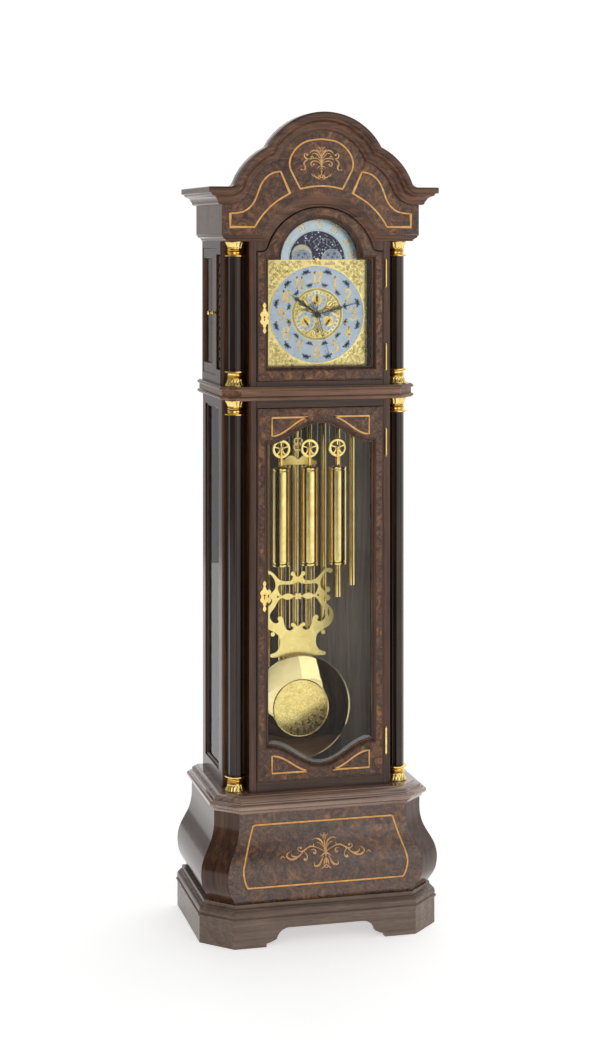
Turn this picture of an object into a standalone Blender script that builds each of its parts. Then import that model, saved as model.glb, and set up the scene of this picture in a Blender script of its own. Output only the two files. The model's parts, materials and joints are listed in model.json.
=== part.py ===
"""Longcase (grandfather) clock with a bombe base, an arched moon-phase dial, a lyre pendulum,
three cable-driven weights and nine tubular chimes.

Run with: blender --background --python part.py
Units are metres.  X points to the clock's left as one faces it, -Y is the front, +Z is up.
The origin is on the floor, in the middle of the plinth's footprint.
"""

from math import asin, atan2, cos, hypot, pi, radians, sin, sqrt

import bmesh
import bpy
from mathutils import Matrix

# ---------------------------------------------------------------- driving dimensions

GAP = 0.0003                  # clearance kept between pieces that touch
BACK = 0.2008                 # rear plane of the case
BOARD = 0.020                 # thickness of the case boards
TAN_22 = sqrt(2.0) - 1.0      # how a 45 degree canted corner slides when its outline is offset

# base
PLINTH_HALF = 0.336
PLINTH_FRONT = -0.2008
PLINTH_CANT = 0.082
PLINTH_TOP = 0.113
BOMBE_NECK_HALF = 0.2906      # half width of the bombe at its neck
BOMBE_NECK_FRONT = -0.168
BOMBE_NECK_CORNER = 0.2333    # half width of its front face at the neck
BOMBE_SWELL_SIDE = 0.0414     # how far the belly stands out from the neck
BOMBE_SWELL_FRONT = 0.0328
BOMBE_SWELL_CORNER = 0.0376
BOMBE_TOP = 0.353
SLAB_HALF = 0.3054            # moulded slab on top of the base
SLAB_FRONT = -0.192
SLAB_CANT = 0.0675
SLAB_TOP = 0.397

# trunk
CASE_FRONT = -0.137           # plane of the stiles beside the doors
TRUNK_HALF = 0.258
WAIST_HALF = 0.2743
WAIST_FRONT = -0.1552
WAIST_CANT = 0.049
WAIST_BOTTOM = 1.4582
WAIST_TOP = 1.4949
DOOR_HALF = 0.178
DOOR_GLASS_HALF = 0.148
DOOR_THICK = 0.022
DOOR_PROUD = 0.005            # how far a door stands in front of the stiles
TRUNK_DOOR_BOTTOM = 0.425
TRUNK_DOOR_TOP = 1.436
HINGE_X = 0.183
SIDE_FRONT = -0.0477          # front edge of the side frames
NICHE_BACK = -0.062           # rear wall of the column niches
STILE_OUTER = 0.1985          # outer face of the stiles beside the doors

# columns
COLUMN_X = 0.2284
COLUMN_Y = -0.0947
COLUMN_R = 0.020
CAP_R = 0.0285
CAP_H = 0.043                 # height of each brass capital and base

# hood
HOOD_HALF = 0.260
HOOD_TOP = 1.8886             # underside of the moulding below the frieze
HOOD_DOOR_BOTTOM = 1.509
DOOR_SHOULDER = 1.8606
DOOR_ARCH_Z = 1.8258          # centre and radius of the door's arch
DOOR_ARCH_R = 0.1548
DOOR_COVE_R = 0.018
FRIEZE_HALF = 0.2771
FRIEZE_FRONT = -0.1475
FRIEZE_BOTTOM = 1.9056
ARCH_MOULD_R = 0.1888         # outer radius of the moulding that runs over the door's arch
ARCH_MOULD_INNER = 0.1570

# pediment
EAR_Z = 2.0356
CREST_Z = 2.0604              # centre and radius of the middle arch
CREST_R = 0.1788
SHOULDER_X = 0.082
SHOULDER_Z = 1.9876
SHOULDER_R = 0.174
EAR_COVE_R = 0.018

# dial and movement
DIAL_Z = 1.688
DIAL_HALF = 0.142
DIAL_BOTTOM = 1.5424
DIAL_TOP = 1.8368
DIAL_Y = -0.0975              # front face of the dial plate
DIAL_THICK = 0.0025
MOON_Z = 1.838
MOON_R = 0.0785
ARCH_R = 0.1135
HUMP_R = 0.029
HUMP_X = 0.042
PLATE_FRONT = -0.047          # front face of the movement's front plate
PLATE_BACK = 0.020            # rear face of its back plate
PLATE_THICK = 0.003
PLATE_HALF = 0.118
PLATE_TOP = 1.802
SEAT_BOTTOM = 1.520
SEAT_TOP = 1.538
DRUM_Z = (1.6674, 1.6425, 1.6674)
WEIGHT_X = (-0.081, 0.0, 0.081)
WEIGHT_NAMES = ("left", "centre", "right")
WEIGHT_Y = -0.015
WEIGHT_R = 0.025
WEIGHT_BOTTOM = 0.987
WEIGHT_TOP = 1.260
PULLEY_Z = 1.312
CABLE_R = 0.0012
CABLE_ARM = 0.0232            # radius at which the cable wraps pulley and drum
PIVOT_Z = 1.765               # swing axis of the pendulum
PENDULUM_Y = 0.115
BOB_Z = 0.568
BOB_R = 0.147
ESCAPE_Z = 1.738

# chime tubes
TUBE_Y = 0.150
TUBE_R = 0.0105
TUBE_PITCH = 0.042
TUBE_RACK_Z = 1.445
TUBE_ENDS = (0.560, 0.590, 0.620, 0.655, 0.695, 0.740, 0.790, 0.865, 0.897)

# ---------------------------------------------------------------- scene and materials

for old in list(bpy.data.objects):
    bpy.data.objects.remove(old, do_unlink=True)

FINISHES = {
    "walnut": ((0.075, 0.038, 0.026), 0.28, 0.0),
    "burl": ((0.110, 0.055, 0.035), 0.25, 0.0),
    "glass": ((0.85, 0.90, 0.90), 0.05, 0.0),
    "brass": ((0.85, 0.62, 0.25), 0.20, 1.0),
    "silvered": ((0.62, 0.68, 0.75), 0.35, 0.6),
    "enamel": ((0.05, 0.06, 0.14), 0.30, 0.0),
    "black": ((0.012, 0.012, 0.014), 0.35, 0.0),
    "steel": ((0.55, 0.55, 0.56), 0.30, 1.0),
}


def material(object_name, finish):
    """A new Principled material for one object."""
    colour, roughness, metallic = FINISHES[finish]
    made = bpy.data.materials.new(f"{object_name}_{finish}")
    made.use_nodes = True
    shader = made.node_tree.nodes["Principled BSDF"]
    shader.inputs["Base Color"].default_value = (*colour, 1.0)
    shader.inputs["Roughness"].default_value = roughness
    shader.inputs["Metallic"].default_value = metallic
    return made


# ---------------------------------------------------------------- modelling helpers

FRONT = Matrix(((1, 0, 0, 0), (0, 0, 1, 0), (0, 1, 0, 0), (0, 0, 0, 1)))   # (u, v, w) to x, z, y
SIDE = Matrix(((0, 0, 1, 0), (1, 0, 0, 0), (0, 1, 0, 0), (0, 0, 0, 1)))    # (u, v, w) to y, z, x
PLAN = Matrix.Identity(4)                                                  # (u, v, w) to x, y, z


def finish_object(name, bm, finish, smooth=None):
    """Turns a bmesh into a named object with outward faces and its own material."""
    bmesh.ops.recalc_face_normals(bm, faces=bm.faces[:])
    mesh = bpy.data.meshes.new(name)
    bm.to_mesh(mesh)
    bm.free()
    made = bpy.data.objects.new(name, mesh)
    bpy.context.collection.objects.link(made)
    if smooth is not None:
        mesh.shade_smooth()
        mesh.set_sharp_from_angle(angle=radians(smooth))
    mesh.materials.append(material(name, finish))
    return made


def loft(name, rings, finish, closed=False, smooth=None):
    """Skins rings of equal length; the ends are capped, or joined to each other when closed."""
    bm = bmesh.new()
    made = [[bm.verts.new(p) for p in ring] for ring in rings]
    pairs = list(zip(made, made[1:]))
    if closed:
        pairs.append((made[-1], made[0]))
    for low, high in pairs:
        count = len(low)
        for i in range(count):
            j = (i + 1) % count
            bm.faces.new((low[i], low[j], high[j], high[i]))
    if not closed:
        bm.faces.new(made[0][::-1])
        bm.faces.new(made[-1])
    return finish_object(name, bm, finish, smooth)


def plate(name, outline, holes, low, high, view, finish, smooth=None):
    """A flat board cut to an outline with holes, from w = low to w = high of a view."""
    bm = bmesh.new()
    for loop in [outline, *holes]:
        verts = [bm.verts.new((u, v, low)) for u, v in loop]
        for i, vert in enumerate(verts):
            bm.edges.new((vert, verts[(i + 1) % len(verts)]))
    bmesh.ops.triangle_fill(bm, use_beauty=True, use_dissolve=False, edges=bm.edges[:])
    made = bmesh.ops.extrude_face_region(bm, geom=bm.faces[:])
    moved = [item for item in made["geom"] if isinstance(item, bmesh.types.BMVert)]
    bmesh.ops.translate(bm, verts=moved, vec=(0.0, 0.0, high - low))
    bmesh.ops.transform(bm, matrix=view, verts=bm.verts[:])
    return finish_object(name, bm, finish, smooth)


def box(name, low, high, finish="walnut"):
    """A plain rectangular board between two corners."""
    outline = rectangle(low[0], high[0], low[1], high[1])
    return plate(name, outline, [], low[2], high[2], PLAN, finish)


def lathe(name, profile, centre, axis, finish, segments=20, smooth=35.0):
    """Turns (radius, height) points about an axis, 'Z' or 'Y', through a centre."""
    rings = []
    for radius, height in profile:
        ring = []
        for i in range(segments):
            angle = 2.0 * pi * i / segments
            ring.append((radius * cos(angle), radius * sin(angle), height))
        rings.append(ring)
    made = loft(name, rings, finish, smooth=smooth)
    place_turned(made, centre, axis)
    return made


def sleeve(name, inner, outer, low, high, centre, axis, finish, segments=20):
    """A tube with a round bore, from height low to height high."""
    rings = []
    for radius, height in ((inner, low), (outer, low), (outer, high), (inner, high)):
        angles = [2.0 * pi * i / segments for i in range(segments)]
        rings.append([(radius * cos(a), radius * sin(a), height) for a in angles])
    made = loft(name, rings, finish, closed=True, smooth=35.0)
    place_turned(made, centre, axis)
    return made


def place_turned(made, centre, axis):
    """Moves turned work to its centre; an axis of 'Y' lays its heights along +Y."""
    turn = Matrix.Rotation(-pi / 2.0, 4, "X") if axis == "Y" else Matrix.Identity(4)
    made.data.transform(Matrix.Translation(centre) @ turn)


def combine(name, pieces, finish, operation="UNION", smooth=None):
    """Applies exact Booleans of the first piece with the others and returns one new object."""
    base = pieces[0]
    for other in pieces[1:]:
        modifier = base.modifiers.new("cut", "BOOLEAN")
        modifier.operation = operation
        modifier.solver = "EXACT"
        modifier.object = other
        depsgraph = bpy.context.evaluated_depsgraph_get()
        mesh = bpy.data.meshes.new_from_object(base.evaluated_get(depsgraph))
        base.modifiers.clear()
        base.data = mesh
        bpy.data.objects.remove(other, do_unlink=True)
    bm = bmesh.new()
    bm.from_mesh(base.data)
    bpy.data.objects.remove(base, do_unlink=True)
    bmesh.ops.remove_doubles(bm, verts=bm.verts[:], dist=0.00001)
    return finish_object(name, bm, finish, smooth)


# ---------------------------------------------------------------- outlines

def rectangle(u0, u1, v0, v1):
    return [(u0, v0), (u1, v0), (u1, v1), (u0, v1)]


def arc(cu, cv, radius, start, stop, steps):
    """Points on an arc, both ends included; angles in degrees."""
    points = []
    for i in range(steps + 1):
        angle = radians(start + (stop - start) * i / steps)
        points.append((cu + radius * cos(angle), cv + radius * sin(angle)))
    return points


def circle(cu, cv, radius, steps):
    return arc(cu, cv, radius, 0.0, 360.0 - 360.0 / steps, steps - 1)


def mirrored(right_half):
    """A whole outline from its right half, which runs from the axis outwards and round."""
    left = [(-u, v) for u, v in reversed(right_half) if abs(u) > 0.00001]
    return right_half + left


def canted_path(half, front, cant, grow, rear=BACK):
    """Plan of a case front: rear left, canted corners, rear right; grown outwards by an offset."""
    side = half + grow
    face = front - grow
    slide = grow * TAN_22
    return [
        (-side, rear),
        (-side, front + cant - slide),
        (-half + cant - slide, face),
        (half - cant + slide, face),
        (side, front + cant - slide),
        (side, rear),
    ]


def moulded_slab(name, half, front, cant, profile, finish="walnut"):
    """A canted slab whose edge follows (grow, z) points, notched behind for the back board."""
    notch = HOOD_HALF - 0.0245
    rings = []
    for grow, z in profile:
        ring = [(x, y, z) for x, y in canted_path(half, front, cant, grow)]
        ring += [(notch, BACK, z), (notch, BACK - 0.013, z), (-notch, BACK - 0.013, z), (-notch, BACK, z)]
        rings.append(ring)
    return loft(name, rings, finish, smooth=30.0)


# ---------------------------------------------------------------- plinth and bombe base

def plinth():
    """Skirt with bracket feet, and the moulding that carries the bombe."""
    low, lip = 0.0, 0.071
    profile = [(-0.004, low), (-0.004, lip), (0.0, lip + 0.002), (0.0, lip + 0.007), (-0.003, lip + 0.010),
               (-0.003, lip + 0.014), (-0.0045, lip + 0.023), (-0.010, lip + 0.031), (-0.016, lip + 0.034),
               (-0.0175, PLINTH_TOP), (-0.060, PLINTH_TOP), (-0.060, lip), (-0.024, lip - 0.006), (-0.024, low)]
    paths = [canted_path(PLINTH_HALF, PLINTH_FRONT, PLINTH_CANT, grow) for grow, z in profile]
    rings = []
    for corner in range(6):
        rings.append([(*paths[k][corner], profile[k][1]) for k in range(len(profile))])
    ring = loft("plinth_ring", rings, "walnut", smooth=30.0)

    foot, notch, flat, rise = 0.165, 0.012, 0.098, 0.0477
    curve = arc(flat + 0.004, 0.012, rise - 0.012, 90.0, 12.0, 6)
    arch = [(flat * 0.5, rise)] + curve + [(foot - notch, 0.012), (foot, 0.009), (foot, -0.01)]
    front_cut = plate("front_cut", mirrored(arch), [], -0.23, -0.15, FRONT, "walnut")
    return combine("plinth", [ring, front_cut], "walnut", "DIFFERENCE", smooth=30.0)


BOMBE_LEVELS = (              # (height, share of the full swell)
    (0.1134, 0.36), (0.126, 0.52), (0.140, 0.72), (0.155, 0.88), (0.172, 0.97), (0.190, 1.0),
    (0.208, 0.96), (0.226, 0.84), (0.243, 0.64), (0.258, 0.43), (0.273, 0.24), (0.290, 0.10),
    (0.308, 0.02), (0.325, 0.0), (BOMBE_TOP - GAP, 0.0),
)
BOMBE_SKIN = 0.018


def bombe_front():
    rings = []
    for z, swell in BOMBE_LEVELS:
        x = BOMBE_NECK_CORNER + BOMBE_SWELL_CORNER * swell - GAP
        y = BOMBE_NECK_FRONT - BOMBE_SWELL_FRONT * swell
        rings.append([(-x, y, z), (x, y, z), (x, y + BOMBE_SKIN, z), (-x, y + BOMBE_SKIN, z)])
    return loft("bombe_front", rings, "burl", smooth=40.0)


def bombe_side(side_name, sign):
    """A side wall with its canted front corner."""
    rings = []
    for z, swell in BOMBE_LEVELS:
        half = BOMBE_NECK_HALF + BOMBE_SWELL_SIDE * swell
        corner = BOMBE_NECK_CORNER + BOMBE_SWELL_CORNER * swell
        front = BOMBE_NECK_FRONT - BOMBE_SWELL_FRONT * swell
        cant = half - corner
        inner = BOMBE_SKIN * TAN_22
        ring = [
            (corner, front), (half, front + cant), (half, BACK), (half - BOMBE_SKIN, BACK),
            (half - BOMBE_SKIN, front + cant + inner), (corner, front + BOMBE_SKIN),
        ]
        rings.append([(sign * x, y, z) for x, y in ring])
    return loft(f"bombe_side_{side_name}", rings, "walnut", smooth=40.0)


def base_top():
    """Moulded slab that is the trunk's floor, with the rail below the trunk door."""
    profile = [(-0.0148, BOMBE_TOP), (-0.010, 0.3595), (-0.003, 0.3665),
               (0.0, 0.3715), (-0.001, 0.3765), (-0.005, 0.3795), (-0.0085, 0.3800), (-0.0085, 0.3825),
               (-0.0148, 0.3830), (-0.0175, 0.3870), (-0.0225, 0.3925), (-0.0304, 0.3960),
               (-0.0304, SLAB_TOP)]
    slab = moulded_slab("slab", SLAB_HALF, SLAB_FRONT, SLAB_CANT, profile)
    sill = rail("sill", SLAB_TOP - 0.001, TRUNK_DOOR_BOTTOM - 0.001)
    return combine("base_top", [slab, sill], "walnut", smooth=30.0)


# ---------------------------------------------------------------- trunk and hood boards

def back_board():
    """One board from the plinth to the roof, as wide as the case is inside at each height."""
    narrow = HOOD_HALF - 0.0245 - GAP
    right = []
    for z, swell in BOMBE_LEVELS[:-1]:
        right.append((BOMBE_NECK_HALF + BOMBE_SWELL_SIDE * swell - BOMBE_SKIN - 2.0 * GAP, z + GAP))
    right.append((BOMBE_NECK_HALF - BOMBE_SKIN - 2.0 * GAP, BOMBE_TOP - GAP))
    wide = FRIEZE_HALF - 0.018 - GAP
    right += [(narrow, BOMBE_TOP - GAP), (narrow, FRIEZE_BOTTOM + GAP), (wide, FRIEZE_BOTTOM + GAP),
              (wide, EAR_Z - 0.018 - GAP)]
    outline = right + [(-x, z) for x, z in reversed(right)]
    return plate("back_board", outline, [], BACK - 0.0125, BACK - GAP, FRONT, "walnut")


def post_plan():
    """Plan of the right-hand post: stile beside the door, niche cheek and niche back."""
    inner = DOOR_HALF + 0.0005
    cheek = STILE_OUTER - 0.012
    outer = TRUNK_HALF - GAP
    return [(inner, CASE_FRONT), (STILE_OUTER, CASE_FRONT), (STILE_OUTER, NICHE_BACK), (outer, NICHE_BACK),
            (outer, SIDE_FRONT - GAP), (cheek, SIDE_FRONT - GAP), (cheek, CASE_FRONT + 0.020),
            (inner, CASE_FRONT + 0.020)]


def trunk_post(side_name, sign):
    outline = [(sign * x, y) for x, y in post_plan()]
    name = f"trunk_post_{side_name}"
    return plate(name, outline, [], SLAB_TOP + GAP, WAIST_BOTTOM - GAP, PLAN, "walnut")


def hood_post(side_name, sign):
    """The trunk's post again, with the shoulder that closes the corner beside the door's arch."""
    outline = [(sign * x, y) for x, y in post_plan()]
    post = plate("post", outline, [], WAIST_TOP + GAP, HOOD_TOP - GAP, PLAN, "walnut")
    clear = 0.0022
    corner = ogee_half(DOOR_HALF, DOOR_SHOULDER, DOOR_ARCH_Z, DOOR_ARCH_R, DOOR_COVE_R, 0.0, -clear)
    top = HOOD_TOP - GAP
    edge = [(x, z) for x, z in corner if z < top - 0.0005 and x < DOOR_HALF - 0.002]
    last = sqrt((DOOR_ARCH_R + clear) ** 2 - (top - DOOR_ARCH_Z) ** 2)
    right = [(last, top)] + edge + [(DOOR_HALF + 0.010, DOOR_SHOULDER + clear), (DOOR_HALF + 0.010, top)]
    shoulder = [(sign * x, z) for x, z in right]
    board = plate("board", shoulder, [], CASE_FRONT, CASE_FRONT + 0.016, FRONT, "walnut")
    return combine(f"hood_post_{side_name}", [post, board], "walnut")


def side_frame(part, side_name, sign, half, low, high, opening):
    """A side wall with one window or door opening."""
    outline = rectangle(SIDE_FRONT, BACK, low, high)
    inner, outer = sign * (half - 0.022), sign * half
    return plate(f"{part}_{side_name}", outline, opening, inner, outer, SIDE, "walnut")


TRUNK_WINDOW = (-0.0177, 0.1658, 0.4350, 1.4300)      # y0, y1, z0, z1
HOOD_SIDE_OPENING = (0.0130, 0.1890, 1.5180, 1.8680)
HOOD_SLOT = (-0.0440, 0.0060, 1.5350, 1.8520)         # sound slot ahead of the side door


def trunk_side(side_name, sign):
    side_frame("trunk_side", side_name, sign, TRUNK_HALF, SLAB_TOP + GAP, WAIST_BOTTOM - GAP,
               [rectangle(*TRUNK_WINDOW)])
    y0, y1, z0, z1 = TRUNK_WINDOW
    pane = rectangle(y0 + GAP, y1 - GAP, z0 + GAP, z1 - GAP)
    middle = sign * (TRUNK_HALF - 0.011)
    plate(f"trunk_side_glass_{side_name}", pane, [], middle - 0.002, middle + 0.002, SIDE, "glass")


def hood_side(side_name, sign):
    side_frame("hood_side", side_name, sign, HOOD_HALF, WAIST_TOP + GAP, HOOD_TOP - GAP,
               [rectangle(*HOOD_SIDE_OPENING), rectangle(*HOOD_SLOT)])
    y0, y1, z0, z1 = HOOD_SIDE_OPENING
    play = 0.001
    rim = rectangle(y0 + play, y1 - play, z0 + play, z1 - play)
    window = (y0 + 0.062, y1 - 0.012, z0 + 0.030, z1 - 0.030)
    inner, outer = sign * (HOOD_HALF - 0.017), sign * (HOOD_HALF - 0.001)
    frame = plate("frame", rim, [rectangle(*window)], inner, outer, SIDE, "walnut")
    knob = lathe("knob", [(0.0016, -0.004), (0.0016, 0.006), (0.0048, 0.008), (0.0060, 0.011), (0.0048, 0.014),
                          (0.0014, 0.0155)], (0.0, 0.0, 0.0), "Z", "walnut", 12)
    knob.data.transform(Matrix.Translation((sign * HOOD_HALF, 0.0585, 1.689))
                        @ Matrix.Rotation(sign * pi / 2.0, 4, "Y"))
    combine(f"hood_side_door_{side_name}", [frame, knob], "walnut")
    pane = rectangle(window[0] + GAP, window[1] - GAP, window[2] + GAP, window[3] - GAP)
    middle = sign * (HOOD_HALF - 0.009)
    plate(f"hood_side_glass_{side_name}", pane, [], middle - 0.0015, middle + 0.0015, SIDE, "glass")


def rail(name, low, high):
    """A board between the posts, above or below a door."""
    return box(name, (-DOOR_HALF, CASE_FRONT, low), (DOOR_HALF, CASE_FRONT + BOARD, high))


def waist():
    """Moulding between trunk and hood with the rails above and below it, open in the middle."""
    edge, bite = 0.0045, 0.001
    profile = [(-edge, WAIST_BOTTOM), (0.0, WAIST_BOTTOM + 0.003),
               (0.0, WAIST_BOTTOM + 0.007), (-edge, WAIST_BOTTOM + 0.010),
               (-edge, WAIST_TOP - 0.010), (0.0, WAIST_TOP - 0.007), (0.0, WAIST_TOP - 0.003),
               (-edge, WAIST_TOP)]
    slab = moulded_slab("slab", WAIST_HALF, WAIST_FRONT, WAIST_CANT, profile)
    hole = box("hole", (-0.183, -0.110, 1.40), (0.183, 0.170, 1.55))
    ring = combine("ring", [slab, hole], "walnut", "DIFFERENCE")
    lintel = rail("lintel", TRUNK_DOOR_TOP + 0.001, WAIST_BOTTOM + bite)
    sill = rail("sill", WAIST_TOP - bite, HOOD_DOOR_BOTTOM - 0.001)
    return combine("waist_moulding", [ring, lintel, sill], "walnut", smooth=30.0)


# ---------------------------------------------------------------- frieze, mouldings and pediment

def ogee_half(half, shoulder, cz, radius, cove, cx, inset):
    """Right half of an arch on coved shoulders, from the top outwards, offset inwards by inset."""
    big = radius - inset
    small = cove + inset
    rise = asin((shoulder + cove - cz) / (radius + cove))
    cove_x = cx + (radius + cove) * cos(rise)
    cove_z = shoulder + cove
    points = arc(cx, cz, big, 90.0, rise * 180.0 / pi, 14)
    points += arc(cove_x, cove_z, small, 180.0 + rise * 180.0 / pi, 270.0, 4)[1:]
    points.append((half - inset, shoulder - inset))
    return points


def pediment_half(inset, end_x):
    """Right half of the pediment's outline: middle arch, shoulder, cove and ear."""
    big = CREST_R - inset
    side = SHOULDER_R - inset
    reach = hypot(SHOULDER_X, SHOULDER_Z - CREST_Z)
    along = (big * big - side * side + reach * reach) / (2.0 * reach)
    across = sqrt(big * big - along * along)
    ux, uz = SHOULDER_X / reach, (SHOULDER_Z - CREST_Z) / reach
    kink = (ux * along - uz * across, CREST_Z + uz * along + ux * across)
    crest_stop = atan2(kink[1] - CREST_Z, kink[0]) * 180.0 / pi
    side_start = atan2(kink[1] - SHOULDER_Z, kink[0] - SHOULDER_X) * 180.0 / pi
    rise = asin((EAR_Z + EAR_COVE_R - SHOULDER_Z) / (SHOULDER_R + EAR_COVE_R))
    cove_x = SHOULDER_X + (SHOULDER_R + EAR_COVE_R) * cos(rise)
    points = arc(0.0, CREST_Z, big, 90.0, crest_stop, 8)
    points += arc(SHOULDER_X, SHOULDER_Z, side, side_start, rise * 180.0 / pi, 6)[1:]
    points += arc(cove_x, EAR_Z + EAR_COVE_R, EAR_COVE_R + inset, 180.0 + rise * 180.0 / pi, 270.0, 3)[1:]
    points.append((end_x, EAR_Z - inset))
    return points


def frieze():
    """Front board with the pediment's outline, and its two side returns."""
    top = pediment_half(0.0, FRIEZE_HALF)
    clear = ARCH_MOULD_R + GAP
    low = FRIEZE_BOTTOM + GAP
    spring = asin((low - DOOR_ARCH_Z) / clear) * 180.0 / pi
    under = arc(0.0, DOOR_ARCH_Z, clear, spring, 90.0, 12)
    right = top + [(FRIEZE_HALF, low)] + under
    outline = right + [(-u, v) for u, v in reversed(right[:-1]) if abs(u) > 0.00001]
    board = plate("frieze_board", outline, [], FRIEZE_FRONT, FRIEZE_FRONT + BOARD, FRONT, "burl")
    pieces = [board]
    for sign in (-1.0, 1.0):
        x0, x1 = sorted((sign * (FRIEZE_HALF - 0.018), sign * FRIEZE_HALF))
        pieces.append(box("return", (x0, FRIEZE_FRONT + 0.002, low), (x1, BACK, EAR_Z)))
    return combine("frieze", pieces, "burl")


def frieze_moulding():
    """Moulding under the frieze, which arches over the hood door."""
    profile = [(0.0, 0.0), (0.0, 0.12), (-0.0030, 0.16), (-0.0035, 0.38), (-0.0080, 0.52),
               (-0.0120, 0.74), (-0.0130, 0.80), (-0.0155, 0.84), (-0.0160, 1.0), (-0.030, 1.0), (-0.030, 0.0)]
    height = FRIEZE_BOTTOM - HOOD_TOP
    columns = []
    for out, share in profile:
        z = FRIEZE_BOTTOM - height * share
        radius = ARCH_MOULD_R - (ARCH_MOULD_R - ARCH_MOULD_INNER) * share
        spring = asin((z - DOOR_ARCH_Z) / radius) * 180.0 / pi
        y = FRIEZE_FRONT - out * 0.65
        x = FRIEZE_HALF + out
        half = arc(0.0, DOOR_ARCH_Z, radius, 90.0, spring, 10) + [(x, z)]
        column = [(x, BACK, z)] + [(u, y, v) for u, v in reversed(half)]
        column += [(-u, y, v) for u, v in half[1:]] + [(-x, BACK, z)]
        columns.append(column)
    rings = [[column[i] for column in columns] for i in range(len(columns[0]))]
    return loft("frieze_moulding", rings, "walnut", smooth=30.0)


def cornice():
    """Crown moulding along the pediment and back along both sides."""
    profile = [(0.0436, 0.0), (0.0436, 0.0165), (0.0360, 0.0180), (0.0340, 0.0220), (0.0255, 0.0250),
               (0.0190, 0.0300), (0.0145, 0.0370), (0.0125, 0.0395), (0.0115, 0.0440), (0.0070, 0.0480),
               (GAP, 0.0490), (GAP, 0.0)]
    columns = []
    for out, drop in profile:
        x, y, z = FRIEZE_HALF + out, FRIEZE_FRONT - out, EAR_Z - drop
        half = pediment_half(drop, x)
        column = [(x, BACK, z)] + [(u, y, v) for u, v in reversed(half)]
        column += [(-u, y, v) for u, v in half[1:]] + [(-x, BACK, z)]
        columns.append(column)
    rings = [[column[i] for column in columns] for i in range(len(columns[0]))]
    return loft("cornice", rings, "walnut", smooth=30.0)


def roof():
    half = FRIEZE_HALF - 0.018 - GAP
    return box("roof_board", (-half, FRIEZE_FRONT + BOARD + GAP, EAR_Z - 0.018), (half, BACK - GAP, EAR_Z - 0.004))


# ---------------------------------------------------------------- columns

def column(name, sign, low, high):
    """A turned column with its base and capital."""
    flare = [(CAP_R, 0.0), (CAP_R, 0.006), (CAP_R * 0.93, 0.008), (CAP_R * 0.93, 0.016), (CAP_R * 0.98, 0.020),
             (CAP_R * 0.82, 0.027), (CAP_R * 0.90, 0.034), (CAP_R * 0.96, 0.039), (COLUMN_R, CAP_H)]
    start, stop = low + GAP, high - GAP
    profile = [(r, start + h) for r, h in flare]
    profile += [(r, stop - h) for r, h in reversed(flare)]
    return lathe(name, profile, (sign * COLUMN_X, COLUMN_Y, 0.0), "Z", "walnut", 16)


# ---------------------------------------------------------------- doors

def hood_opening(inset):
    """The hood door's glass opening, made smaller by inset."""
    spring_x, shoulder, radius = 0.1125, 1.8406, 0.1125
    arch = arc(0.0, 1.838, radius - inset, 90.0, 2.0, 14)
    half = DOOR_GLASS_HALF - inset
    right = arch + [(spring_x - inset, shoulder - inset), (half, shoulder - inset), (half, 1.5452 + inset)]
    return mirrored(right)


def hood_door():
    right = ogee_half(DOOR_HALF, DOOR_SHOULDER, DOOR_ARCH_Z, DOOR_ARCH_R, DOOR_COVE_R, 0.0, 0.0)
    outline = mirrored(right + [(DOOR_HALF, HOOD_DOOR_BOTTOM)])
    front = CASE_FRONT - DOOR_PROUD
    plate("hood_door_frame", outline, [hood_opening(0.0)], front, front + DOOR_THICK, FRONT, "burl")
    plate("hood_door_glass", hood_opening(GAP), [], front + 0.010, front + 0.013, FRONT, "glass")


def trunk_opening(inset):
    """The trunk door's glass opening, with serpentine ends, made smaller by inset."""
    half = DOOR_GLASS_HALF - inset
    top_end, top_mid, low_end, low_mid = 1.340, 1.396, 0.524, 0.465
    steps = 12
    upper, lower = [], []
    for i in range(steps + 1):
        x = half * i / steps
        wave = 0.5 + 0.5 * cos(pi * x / half)
        upper.append((x, top_end + (top_mid - top_end) * wave - inset))
        lower.append((x, low_end + (low_mid - low_end) * wave + inset))
    return mirrored(upper + lower[::-1])


def trunk_door():
    outline = rectangle(-DOOR_HALF, DOOR_HALF, TRUNK_DOOR_BOTTOM, TRUNK_DOOR_TOP)
    front = CASE_FRONT - DOOR_PROUD
    plate("trunk_door_frame", outline, [trunk_opening(0.0)], front, front + DOOR_THICK, FRONT, "burl")
    plate("trunk_door_glass", trunk_opening(GAP), [], front + 0.010, front + 0.013, FRONT, "glass")


# ---------------------------------------------------------------- dial, hands and movement

WINDING_HOLES = [(x, z) for x, z in zip(WEIGHT_X, DRUM_Z)]
SUBDIALS = (("strike", 0.0, 0.039), ("chime", -0.033, -0.0187), ("tune", 0.033, -0.0187))
SUBDIAL_TURN = {"strike": 0.0, "chime": 145.0, "tune": 215.0}   # where each selector hand rests


def seat_board():
    """Shelf that carries the movement, drilled for the cables."""
    slots = []
    for x in WEIGHT_X:
        slots.append(rectangle(x - CABLE_ARM - 0.005, x - CABLE_ARM + 0.005, WEIGHT_Y - 0.008, WEIGHT_Y + 0.008))
    half = HOOD_HALF - 0.022 - GAP
    outline = rectangle(-half, half, SIDE_FRONT, 0.070)
    return plate("seat_board", outline, slots, SEAT_BOTTOM, SEAT_TOP, PLAN, "walnut")


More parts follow.
